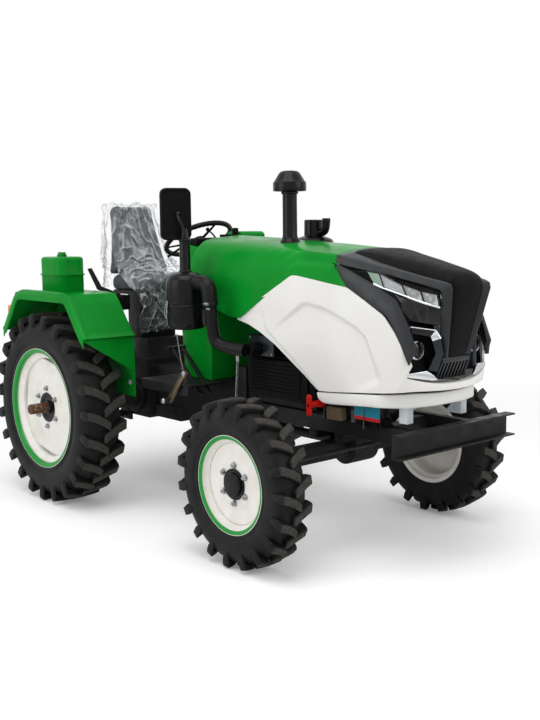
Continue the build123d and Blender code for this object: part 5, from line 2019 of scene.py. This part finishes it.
@dataclass
class Seat:
    """A vinyl seat, swollen as stuffed cloth, under a draped sheet of clear packing film."""

    lean: float = math.radians(12.0)
    cushion_at: Point = (-1.590, 0, 1.170)
    back_foot: Point = (-1.745, 0.0, 1.219)
    film_half: float = 0.240
    film_halves: Sequence[Row] = (
        (0.0, 0.255), (0.20, 0.240), (0.34, 0.196), (0.42, 0.196), (0.62, 0.240), (0.72, 0.262), (0.86, 0.250),
        (1.0, 0.225),
    )
    film_path: Sequence[Flat] = metres((
        (-1862, 1200), (-1868, 1300), (-1890, 1500), (-1900, 1620), (-1882, 1650), (-1845, 1656), (-1795, 1640),
        (-1765, 1500), (-1705, 1320), (-1655, 1272), (-1580, 1258), (-1420, 1255), (-1368, 1225), (-1350, 1160),
        (-1346, 1085),
    ))
    film_cell: float = 0.0125
    film_rows: int = 113
    film_ease: float = 0.05
    film_gap: float = 0.003
    film_frames: int = 30
    grip_rows: Sequence[int] = (38, 39)
    stuffing_frames: int = 20
    waves: int = 16
    seed: int = 11

    def puffed(
        self, made: Object, cap: float, pressure: float = 4.0, voxel: float = 0.007
    ) -> Object:
        """Swells a closed mesh with a cloth simulation, and bakes it.

        Args:
            made: The mesh, a little smaller than the cushion.
            cap: The furthest that a point may move.
            pressure: The cloth's inner pressure.
            voxel: The size of the even mesh's faces.

        Returns:
            The swollen cushion.
        """
        even = made.modifiers.new("even", "REMESH")
        even.mode = "VOXEL"
        even.voxel_size = voxel
        baked(made)
        start = [v.co.copy() for v in made.data.vertices]
        cloth = made.modifiers.new("stuffing", "CLOTH")
        cloth.settings.quality = 5
        cloth.settings.use_pressure = True
        cloth.settings.uniform_pressure_force = pressure
        cloth.settings.effector_weights.gravity = 0.0
        self.simulate(made, cloth, self.stuffing_frames)
        for vertex, was in zip(made.data.vertices, start):
            move = vertex.co - was
            if move.length > cap:
                vertex.co = was + move * (cap / move.length)
        return made

    def simulate(self, made: Object, cloth: bpy.types.Modifier, frames: int) -> None:
        """Runs a piece's cloth simulation and bakes its last frame."""
        cloth.point_cache.frame_start, cloth.point_cache.frame_end = 1, frames
        for frame in range(1, frames + 1):
            bpy.context.scene.frame_set(frame)
        baked(made)
        bpy.context.scene.frame_set(1)

    def pressed(
        self, made: Object, frame: Matrix, facing: float, seams: Callable[[float, float], float]
    ) -> Object:
        """Subdivides a cushion once and presses its seams into its face.

        Args:
            made: The cushion.
            frame: Its own axes: across, up its face, and out of it.
            facing: How much of its normal must point out of the face for a seam to show.
            seams: Gives a seam's depth at (across, up).
        """
        subdivided(made)
        back = frame.inverted()
        out = frame.to_3x3() @ Vector((0, 0, 1))
        normals = [vertex.normal.copy() for vertex in made.data.vertices]
        for vertex, normal in zip(made.data.vertices, normals):
            across, up, _ = back @ vertex.co
            turned = max(0.0, (normal @ out - facing) / (1 - facing))
            vertex.co = vertex.co - out * (seams(across, up) * min(1.0, turned * 2))
        made.data.update()
        return made

    def cushion(self) -> Object:
        """Makes the cushion: crowned, flat underneath, with channels from front to back between two bolsters."""
        made = prism("seat_cushion_sewn", rounded(0.206, 0.202, -0.198, 0.196, 0.060), -0.038, 0.034)
        made.data.transform(Matrix(((0, 0, 1, 0), (1, 0, 0, 0), (0, 1, 0, 0), (0, 0, 0, 1))))
        made.data.transform(Matrix.Translation(self.cushion_at))
        made = self.puffed(bevelled(made, 0.022, 4, 50), 0.022)
        for vertex in made.data.vertices:
            vertex.co.z = max(vertex.co.z, 1.1285)
        frame = Matrix.Translation(self.cushion_at) @ Matrix(((0, 1, 0, 0), (1, 0, 0, 0), (0, 0, 1, 0), (0, 0, 0, 1)))
        return self.pressed(made, frame, 0.3, lambda a, u: self.seam_depth(a, u, 0.135, -0.15, 0.145))

    def seam_depth(self, across: float, up: float, half: float, low: float, high: float) -> float:
        """Returns the depth of the border seam and of the channels between it."""
        inside = min(half - abs(across), up - low, high - up)
        border = 0.008 * math.exp(-((inside / 0.005) ** 2))
        if inside < 0:
            return border
        pitch = 2 * half / 6
        off = abs((across + half + pitch / 2) % pitch - pitch / 2)
        fade = min(1.0, inside / 0.006)
        return max(border, 0.007 * math.exp(-((off / 0.005) ** 2)) * fade) + 0.003 * min(1.0, inside / 0.02)

    def back(self) -> Object:
        """Makes the backrest: a tall pad that narrows upwards, with a head roll over its channels."""
        made = prism("seat_back_sewn", rounded(0.206, 0.150, -0.030, 0.418, 0.050), -0.030, 0.030)
        place = Matrix.Translation(self.back_foot) @ Matrix.Rotation(-self.lean, 4, "Y")
        made.data.transform(Matrix(((0, 1, 0, 0), (1, 0, 0, 0), (0, 0, 1, 0), (0, 0, 0, 1))))
        made.data.transform(place)
        made = self.puffed(bevelled(made, 0.022, 4, 50), 0.020)
        for vertex in made.data.vertices:
            vertex.co.z = max(vertex.co.z, 1.2215)
        frame = place @ Matrix(((0, 0, 1, 0), (1, 0, 0, 0), (0, 1, 0, 0), (0, 0, 0, 1)))
        return self.pressed(
            made, frame, 0.3, lambda a, u: self.seam_depth(a, u, 0.132 - 0.085 * max(u, 0.0), 0.02, 0.325)
        )

    def waved(self, long: Sequence[Point], run: float) -> list[list[Point]]:
        """Returns the film's rows before it falls, with soft waves over it.

        Args:
            long: The middle point of each row.
            run: The path's length over them.
        """
        count = round(2 * self.film_half / self.film_cell) + 1
        last = self.film_rows - 1
        chance = random.Random(self.seed)
        waves = [
            (chance.uniform(8, 50), chance.uniform(20, 110), chance.uniform(0, 6.3), chance.uniform(0.0008, 0.003))
            for _ in range(self.waves)
        ]
        rows = []
        for k, (x, _, z) in enumerate(long):
            half = at(self.film_halves, k / last)[0]
            row = []
            for i in range(count):
                y, s = half * (2 * i / (count - 1) - 1), k * run / last
                rise = sum(d * math.sin(a * s + b * y + c) for a, b, c, d in waves)
                hug = 0.55 * max(0.0, abs(y) - 0.135) * (1 if k < 40 else -1) * (z > 1.27)
                row.append((x + rise * 0.8 + hug, y, z + max(rise, -0.004)))
            rows.append(row)
        return rows

    def drape(self, sheet: Object, grip_at: Sequence[int], rests: Sequence[Object]) -> None:
        """Lets the film fall on the cushions, lightly held at some points of its ridge."""
        for rest in rests:
            rest.modifiers.new("rest", "COLLISION")
            rest.collision.thickness_outer = self.film_gap
            rest.collision.cloth_friction = 12.0
        grip = sheet.vertex_groups.new(name="grip")
        grip.add(grip_at, 0.5, "REPLACE")
        cloth = sheet.modifiers.new("drape", "CLOTH")
        s = cloth.settings
        s.quality, s.mass, s.air_damping = 7, 0.08, 1.5
        s.tension_stiffness = s.compression_stiffness = 12.0
        s.shear_stiffness, s.bending_stiffness = 6.0, 0.25
        s.shrink_min = -self.film_ease
        s.vertex_group_mass = "grip"
        s.pin_stiffness = 0.6
        cloth.collision_settings.distance_min = self.film_gap
        cloth.collision_settings.use_self_collision = False
        self.simulate(sheet, cloth, self.film_frames)
        for rest in rests:
            rest.modifiers.clear()

    def film(self, rests: Sequence[Object]) -> tuple[Object, Flat]:
        """Drapes the film over the seat with a cloth simulation, and bakes it.

        Args:
            rests: The cushions that it lies on.

        Returns:
            The film, and the width and length that it is cut to.
        """
        long = spaced([(x, 0.0, z) for x, z in self.film_path], self.film_rows)
        run = sum(math.dist(a, b) for a, b in zip(long, long[1:]))
        rows = self.waved(long, run)
        sheet = skin("seat_film", rows)
        count = len(rows[0])
        self.drape(sheet, [k * count + i for k in self.grip_rows for i in range(0, count, 4)], rests)
        subdivided(sheet)
        sheet.vertex_groups.clear()
        self.crumple(sheet)
        length = run * (1 + self.film_ease)
        return sheet, (sum(face.area for face in sheet.data.polygons) / length, length)

    def crumple(self, sheet: Object) -> None:
        """Creases the film with sharp ridges that run with its fall, each standing off the seat."""
        normals = [v.normal.copy() for v in sheet.data.vertices]
        seat = Vector((-1.66, 0.0, 1.20))
        for vertex, normal in zip(sheet.data.vertices, normals):
            p = vertex.co
            out = normal if normal @ (p - seat) > 0 else -normal
            upright = min(1.0, max(0.0, (p.z - 1.25) / 0.06))
            cell = Vector((12.0, 13.0 + 5.0 * upright, 16.0 - 11.0 * upright))
            fold = 1.0 - min(1.0, abs(noise.noise(Vector(c * q for c, q in zip(cell, p)))) * 3.6)
            fine = 1.0 - min(1.0, abs(noise.noise(Vector(2.6 * c * q for c, q in zip(cell, p)) + seat)) * 3.0)
            vertex.co = p + out * (0.014 * fold**1.8 + 0.0012 * fine)
        sheet.data.update()

    def build(self, bench: Bench) -> None:
        """Makes the cushions and the film, and settles them."""
        began = time.time()
        pads = [self.cushion(), self.back()]
        sheet, cut = self.film(pads)
        for pad, node in zip(pads, ("seat_cushion", "seat_back")):
            bench.settle(pad, "chassis", "seat_vinyl", "seat_vinyl", (node,), 60)
        bench.settle(sheet, "chassis", "", "clear_film", (), 80)
        LOG.info("seat took %.1f s", time.time() - began)


# ---------------------------------------------------------------- stacks, cleaner, mirror, dash


@dataclass
class UpperWorks:
    """What stands over the bonnet's line: stacks, air cleaner, duct, mirror, dash and steering wheel."""

    cleaner: Flat = (-0.698, -0.428)
    mirror_at: Point = (-0.750, -0.440, 1.548)
    mirror_half: Flat = (0.0775, 0.1275)
    # The cosine and sine of the housing's turn from straight ahead to the right.
    mirror_facing: Flat = (0.9372, 0.3489)
    # The housing's rings, as (inset, depth), from its open edge to its domed back.
    mirror_rim: Sequence[Flat] = metres((
        (0, -14), (0, 4), (1.5, 10), (5, 14.5), (9, 15.5), (13, 13.5), (18, 11.5), (35, 13.5), (55, 15), (68, 15.5),
    ))
    wheel_at: Point = (-1.155, 0.0, 1.420)
    wheel_tilt: float = math.radians(28.0)

    def stack(self) -> Object:
        """Makes the tall stack: a flared foot, a plain pipe, a ring and a shouldered cap."""
        profile = [
            (1.4036, 0.0), (1.4036, 0.050), (1.412, 0.047), (1.420, 0.041), (1.430, 0.037), (1.440, 0.035),
            (1.634, 0.035), (1.635, 0.039), (1.638, 0.041), (1.643, 0.041), (1.646, 0.039), (1.647, 0.036),
            (1.652, 0.036), (1.652, 0.074), (1.649, 0.077), (1.650, 0.0795), (1.656, 0.080), (1.684, 0.0797),
            (1.691, 0.078), (1.696, 0.073), (1.706, 0.067), (1.726, 0.055), (1.737, 0.047), (1.742, 0.039),
            (1.7447, 0.026), (1.745, 0.0),
        ]
        return lathe("stack_turned", profile, (-0.290, -0.100, 0), 96, "z")

    def elbow(self) -> Object:
        """Makes the low outlet: a domed flange, a short drum and an open bent pipe with a welded rim."""
        flange = lathe(
            "outlet",
            [
                (1.401, 0.0), (1.401, 0.098), (1.404, 0.100), (1.409, 0.0995), (1.416, 0.094), (1.423, 0.082),
                (1.430, 0.062), (1.434, 0.049), (1.437, 0.0455), (1.508, 0.0455), (1.512, 0.044), (1.514, 0.040),
                (1.514, 0.0),
            ],
            (-0.338, 0.100, 0), 80, "z",
        )
        pipe = tube(
            "bent",
            [
                (-0.335, 0.1, 1.449), (-0.300, 0.1, 1.449), (-0.262, 0.1, 1.452), (-0.247, 0.1, 1.474),
                (-0.246, 0.1, 1.502),
            ],
            0.0195,
        )
        mouth = lathe(
            "mouth",
            [
                (1.496, 0.0195), (1.500, 0.0205), (1.518, 0.0205), (1.520, 0.0195), (1.519, 0.0170), (1.485, 0.0165),
                (1.484, 0.0),
            ],
            (-0.246, 0.1, 0), 48, "z",
        )
        return joined("outlet_turned", [flange, pipe, mouth])

    def air_cleaner(self, bench: Bench) -> Object:
        """Makes the canister with its two-bead band, its wire clips and its stem."""
        profile = metres((
            (985, 0), (985, 70), (988, 82), (995, 91), (1008, 97.5), (1030, 98), (1098, 98), (1099, 100.5),
            (1102, 101.5), (1105, 100.5), (1107, 98.5), (1113, 98.5), (1115, 100.5), (1118, 101.5), (1121, 100.5),
            (1122, 98), (1190, 98), (1212, 96.5), (1230, 92), (1244, 84), (1255, 71), (1262, 54), (1265.5, 38),
            (1266.5, 33), (1271, 32.5), (1274, 28.5), (1280, 27), (1414, 26.5), (1416, 29.5), (1419, 30.5),
            (1423, 30.5), (1426, 29), (1430, 22), (1432, 12), (1432, 0),
        ))
        kit = Kit(bench)
        kit.add("canister_black", lathe("canister", profile, (*self.cleaner, 0), 112, "z"))
        for degrees in (-101.0, 49.0):
            self.clip(kit, math.radians(degrees))
        return kit.joined("air_cleaner_turned")

    def clip(self, kit: Kit, angle: float) -> None:
        """Makes one of the canister's clips, a wire loop and its tongue, at an angle round it."""
        x, y = self.cleaner
        out = Vector((math.cos(angle), math.sin(angle), 0))
        side = Vector((-math.sin(angle), math.cos(angle), 0))
        half = ((0.101, 0.007, 1.118), (0.109, 0.010, 1.098), (0.111, 0.011, 1.062), (0.108, 0.004, 1.044))
        loop = [(reach, -across, z) for reach, across, z in half] + list(reversed(half))
        tongue = [(0.1005, -0.006, 1.128), (0.1045, -0.006, 1.120), (0.1065, -0.005, 1.090), (0.1010, -0.004, 1.066)]
        loop, tongue = (
            [tuple(Vector((x, y, z)) + out * reach + side * across) for reach, across, z in line]
            for line in (loop, tongue)
        )
        kit.add("zinc_plate", tube("clip", loop, 0.0019, True, 3))
        mate = [tuple(Vector(p) + side * (0.012 - 0.0012 * k)) for k, p in enumerate(tongue)]
        kit.add("zinc_plate", strip("tongue", [tongue, mate], 0.0016, (x, y, 1.10), 0))

    def duct(self, bench: Bench) -> Object:
        """Makes the duct: a thick rubber elbow, a clamp with its screw, and the hose below."""
        bend = tube(
            "elbow",
            [
                (-0.640, -0.428, 1.212), (-0.590, -0.428, 1.216), (-0.530, -0.428, 1.214), (-0.506, -0.428, 1.178),
                (-0.505, -0.427, 1.118),
            ],
            0.0375, True, 8,
        )
        hose = tube(
            "hose",
            [
                (-0.505, -0.427, 1.150), (-0.505, -0.420, 1.050), (-0.505, -0.408, 0.960), (-0.490, -0.400, 0.925),
                (-0.420, -0.375, 0.905), (-0.340, -0.350, 0.900),
            ],
            0.0305, True, 8,
        )
        kit = Kit(bench)
        kit.add("hose_rubber", bend, hose)
        bead = [(1.112, 0.034), (1.112, 0.0385), (1.114, 0.0395), (1.124, 0.0395), (1.126, 0.0385), (1.126, 0.034)]
        kit.add("chassis_black", lathe("clamp", bead, (-0.505, -0.427, 0), 64, "z"))
        head = [(-0.014, 0.0), (-0.014, 0.0075), (0.008, 0.0075), (0.010, 0.005), (0.010, 0.0)]
        tail = [(-0.010, 0.0), (-0.010, 0.006), (0.006, 0.006), (0.007, 0.0)]
        kit.add("zinc_plate", lathe("screw", head, (-0.486, -0.462, 1.119), 6, "x"))
        kit.add("zinc_plate", lathe("screw", tail, (-0.478, -0.458, 1.096), 12, "x"))
        return kit.joined("air_duct_moulded")

    def mirror(self, bench: Bench) -> Object:
        """Makes the mirror: a domed housing with a raised rim, its glass, and its arm."""
        half_w, half_h = self.mirror_half
        rings = []
        for inset, depth in self.mirror_rim:
            corner = max(0.032 - inset * 0.6, 0.008)
            outline = rounded(half_w - inset, half_w - inset, inset - half_h, half_h - inset, corner)
            rings.append([(u, v, depth) for u, v in outline])
        shell = skin("housing", rings, closed=True, capped=True)
        glass = prism("glass", [(u * 0.96, v * 0.975) for u, v, _ in rings[0]], -0.0145, -0.0125, "z")
        cos, sin = self.mirror_facing
        axes = Matrix(((sin, 0, cos, 0), (cos, 0, -sin, 0), (0, 1, 0, 0), (0, 0, 0, 1)))
        for part in (shell, glass):
            part.data.transform(Matrix.Translation(self.mirror_at) @ axes)
            tidy_normals(part)
        kit = Kit(bench)
        kit.add("matt_black_abs", shell)
        kit.add("mirror_glass", glass)
        line = [
            (*self.cleaner, 1.428), (-0.699, -0.430, 1.470), (-0.705, -0.446, 1.506), (-0.722, -0.447, 1.534),
            (-0.732, -0.446, 1.548),
        ]
        sleeve = [(1.426, 0.0), (1.426, 0.019), (1.440, 0.0175), (1.478, 0.0125), (1.482, 0.0)]
        kit.add("canister_black", tube("arm", line, 0.0078, True, 5))
        kit.add("canister_black", lathe("sleeve", sleeve, (*self.cleaner, 0), 40, "z"))
        cup = [(0.0, 0.0), (0.0, 0.016), (0.006, 0.015), (0.010, 0.012), (0.017, 0.010), (0.020, 0.0)]
        socket = lathe("socket", cup, (0, 0, 0), 32, "x")
        turn = Matrix.Rotation(math.atan2(-sin, cos), 4, "Z")
        socket.data.transform(Matrix.Translation((-0.736, -0.4445, 1.550)) @ turn)
        kit.add("gloss_black_abs", socket)
        return kit.joined("mirror_moulded")

    def dash(self, bench: Bench) -> Object:
        """Makes the dash pad with its knob, switch box and stalk."""
        pad = bevelled(
            prism(
                "pad",
                [
                    (-0.960, 1.400), (-0.850, 1.386), (-0.846, 1.424), (-0.862, 1.430), (-0.990, 1.422),
                    (-1.000, 1.412), (-1.000, 1.385), (-0.966, 1.380),
                ],
                -0.240, 0.240,
            ),
            0.006, 3,
        )
        knob = lathe(
            "knob",
            [
                (1.424, 0.0), (1.424, 0.021), (1.430, 0.020), (1.434, 0.0150), (1.446, 0.0150), (1.449, 0.0175),
                (1.470, 0.0175), (1.477, 0.0155), (1.479, 0.010), (1.479, 0.0),
            ],
            (-0.883, 0.042, 0), 40, "z",
        )
        box = brick("box", (-0.893, -0.852), (-0.058, 0.043), (1.424, 1.445), 0.004)
        stalk = tube("stalk", [(-0.935, -0.05, 1.425), (-0.942, -0.062, 1.450), (-0.960, -0.082, 1.468)], 0.0045)
        tip = lathe(
            "tip", [(1.462, 0.0), (1.462, 0.008), (1.470, 0.010), (1.480, 0.008), (1.483, 0.0)], (-0.961, -0.083, 0),
            24, "z",
        )
        kit = Kit(bench)
        kit.add("matt_black_abs", pad, knob, box, stalk, tip)
        return kit.joined("dash_moulded")

    def hood(self, bench: Bench) -> Object:
        """Makes the low green hood beside the dash."""
        outline = [(-0.988, 1.420), (-0.864, 1.420), (-0.862, 1.446), (-0.880, 1.460), (-0.975, 1.461), (-0.990, 1.450)]
        return painted(bevelled(prism("hood", outline, 0.071, 0.237), 0.009, 4), bench.finishes["green_enamel"])

    def wheel(self, bench: Bench) -> Object:
        """Makes the steering wheel: a padded rim with finger waves beneath, three dished spokes, and a domed hub."""
        turns, around = 180, 16
        verts, faces = [], []
        for i in range(turns):
            a = 2 * math.pi * i / turns
            for j in range(around):
                b = 2 * math.pi * j / around
                grip = 0.0138 + (0.0008 * math.sin(a * 48) if math.sin(b) < -0.2 else 0.0)
                r = 0.184 + grip * math.cos(b)
                verts.append((r * math.cos(a), r * math.sin(a), grip * math.sin(b)))
                here, ahead, k = i * around, ((i + 1) % turns) * around, (j + 1) % around
                faces.append((here + j, ahead + j, ahead + k, here + k))
        kit = Kit(bench)
        kit.add("hose_rubber", fresh("rim", verts, faces))
        hub = [
            (-0.044, 0.0), (-0.044, 0.024), (-0.024, 0.030), (-0.006, 0.034), (0.001, 0.0335), (0.004, 0.030),
            (0.005, 0.018), (0.005, 0.0),
        ]
        kit.add("matt_black_abs", lathe("hub", hub, (0, 0, 0), 48, "z"))
        half = [(0.024, 0.009), (0.060, 0.009), (0.172, 0.006), (0.183, 0.008)]
        outline = [(x, -y) for x, y in half] + list(reversed(half))
        for turn in (90, 210, 330):
            spoke = prism("spoke", outline, -0.0155, -0.0085, "z")
            for vertex in spoke.data.vertices:
                vertex.co.z += 0.010 * max(0.0, (vertex.co.x - 0.06) / 0.12)
            spoke.data.transform(Matrix.Rotation(math.radians(turn), 4, "Z"))
            kit.add("matt_black_abs", bevelled(spoke, 0.0025, 3))
        stem = [(-0.095, 0.0), (-0.095, 0.011), (-0.040, 0.011), (-0.040, 0.0)]
        kit.add("matt_black_abs", lathe("stem", stem, (0, 0, 0), 32, "z"))
        made = kit.joined("steering_wheel_moulded")
        cos, sin = math.cos(self.wheel_tilt), math.sin(self.wheel_tilt)
        axes = Matrix(((0, cos, -sin, 0), (1, 0, 0, 0), (0, sin, cos, 0), (0, 0, 0, 1)))
        made.data.transform(Matrix.Translation(self.wheel_at) @ axes)
        return tidy_normals(made)

    def build(self, bench: Bench) -> None:
        """Makes each piece and settles it."""
        for made, body, slot, finish, node, smooth in (
            (self.stack(), "tilting_bonnet", "black_paint", "canister_black", "stack", 30),
            (self.elbow(), "tilting_bonnet", "black_paint", "canister_black", "exhaust_elbow", 30),
            (self.air_cleaner(bench), "chassis", "black_gloss", None, "air_cleaner", 30),
            (self.duct(bench), "chassis", "duct_rubber", None, "air_duct", 40),
            (self.mirror(bench), "chassis", "black_plastic", None, "mirror", 35),
            (self.dash(bench), "chassis", "black_plastic", None, "dash", 35),
            (self.hood(bench), "chassis", "green_paint", None, "", 35),
            (self.wheel(bench), "steering", "black_plastic", None, "steering_wheel", 35),
        ):
            bench.settle(made, body, slot, finish, (node,) if node else (), smooth)


# ---------------------------------------------------------------- studio


@dataclass
class Studio:
    """The white studio: floor, lamps, world and camera."""

    camera_at: Point = (3.272, -3.326, 1.469)
    yaw: float = 49.06
    pitch: float = -7.505
    roll: float = -0.632
    focal_px: float = 992.1
    frame_px: float = 720.0

    def camera(self, axle_x: float) -> None:
        """Places the camera.

        Args:
            axle_x: The front axle's x in the row frame.
        """
        data = bpy.data.cameras.new("camera")
        data.sensor_fit = "VERTICAL"
        data.sensor_height = 36.0
        data.lens = 36.0 * self.focal_px / self.frame_px
        data.clip_end = 200
        made = placed("camera", data)
        turn = Matrix.Rotation(math.radians(self.yaw), 4, "Z") @ Matrix.Rotation(math.radians(90 + self.pitch), 4, "X")
        roll = Matrix.Rotation(math.radians(self.roll), 4, "Z")
        x, y, z = self.camera_at
        made.matrix_world = Matrix.Translation((x + axle_x, y, z)) @ turn @ roll
        bpy.context.scene.camera = made

    def floor(self) -> None:
        """Lays a white floor that keeps the object's shadow."""
        made = fresh("floor", [(-30, -30, 0), (30, -30, 0), (30, 30, 0), (-30, 30, 0)], [(0, 1, 2, 3)])
        s = Surface("white_floor", 0.9, Specular_IOR_Level=0.1)
        s.shader.inputs["Base Color"].default_value = linear("FAFAFA")
        far = add_node(s.tree, "ShaderNodeVectorMath", {"operation": "LENGTH"}, i0=s.place).outputs["Value"]
        seen = add_node(s.tree, "ShaderNodeLightPath").outputs["Is Camera Ray"]
        white = add_node(s.tree, "ShaderNodeEmission", Color=(1, 1, 1, 1), Strength=1.0)
        share = s.maths("MULTIPLY", s.spread(far, 0.0, 1.0, 2.2, 5.0), seen)
        mixed = add_node(s.tree, "ShaderNodeMixShader", i0=share, i1=s.shader.outputs[0], i2=white.outputs[0])
        s.tree.links.new(mixed.outputs[0], s.output.inputs["Surface"])
        s.feed("Emission Color", s.blend(seen, "000000", "FFFFFF"))
        s.shader.inputs["Emission Strength"].default_value = 0.16
        made.data.materials.append(s.material)
        made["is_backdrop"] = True

    def world(self, level: float = 0.64) -> None:
        """Sets a white world: full white where it is seen or mirrored, and softer as a light."""
        world = bpy.data.worlds.new("studio")
        bpy.context.scene.world = world
        world.use_nodes = True
        tree = world.node_tree
        tree.nodes.clear()
        path = add_node(tree, "ShaderNodeLightPath").outputs
        seen = add_node(
            tree, "ShaderNodeMath", {"operation": "ADD"}, i0=path["Is Camera Ray"], i1=path["Is Glossy Ray"]
        )
        both = add_node(
            tree, "ShaderNodeMath", {
                "operation": "ADD", "use_clamp": True
            }, i0=seen.outputs[0], i1=path["Is Transmission Ray"]
        )
        strength = add_node(tree, "ShaderNodeMapRange", Value=both.outputs[0], i3=level, i4=1.0)
        back = add_node(tree, "ShaderNodeBackground", Color=(1, 1, 1, 1), Strength=strength.outputs[0])
        output = add_node(tree, "ShaderNodeOutputWorld")
        tree.links.new(back.outputs[0], output.inputs["Surface"])

    def lamp(self, name: str, at: Point, aim: Point, size: float, watts: float) -> None:
        """Hangs a square softbox at a place and aims it."""
        data = bpy.data.lights.new(name, "AREA")
        data.size = size
        data.energy = watts
        made = placed(name, data)
        direction = Vector(aim) - Vector(at)
        made.matrix_world = Matrix.Translation(at) @ direction.to_track_quat("-Z", "Y").to_matrix().to_4x4()

    def build(self, bench: Bench) -> None:
        """Builds the whole studio."""
        self.camera(bench.axle_x)
        self.floor()
        self.world()
        self.lamp("softbox_over", (1.0, -1.5, 5.0), (0, 0, 0.6), 3.5, 100)
        self.lamp("softbox_front", (4.5, 1.5, 3.0), (0.3, 0, 0.8), 2.5, 45)
        self.lamp("softbox_side", (-1.0, -5.0, 2.6), (0, 0, 0.8), 3.0, 60)
        bpy.context.scene.view_settings.view_transform = "Standard"


def main() -> None:
    """Builds the tractor's looks and the studio."""
    logging.basicConfig(level=logging.INFO, format="%(message)s")
    bench = Bench()
    build_wheels(bench)
    build_chassis(bench)
    Bonnet().build(bench)
    Nose().build(bench)
    Face().build(bench)
    Panels().build(bench)
    UpperWorks().build(bench)
    Fittings().build(bench)
    Seat().build(bench)
    Studio().build(bench)


if __name__ == "__main__":
    main()
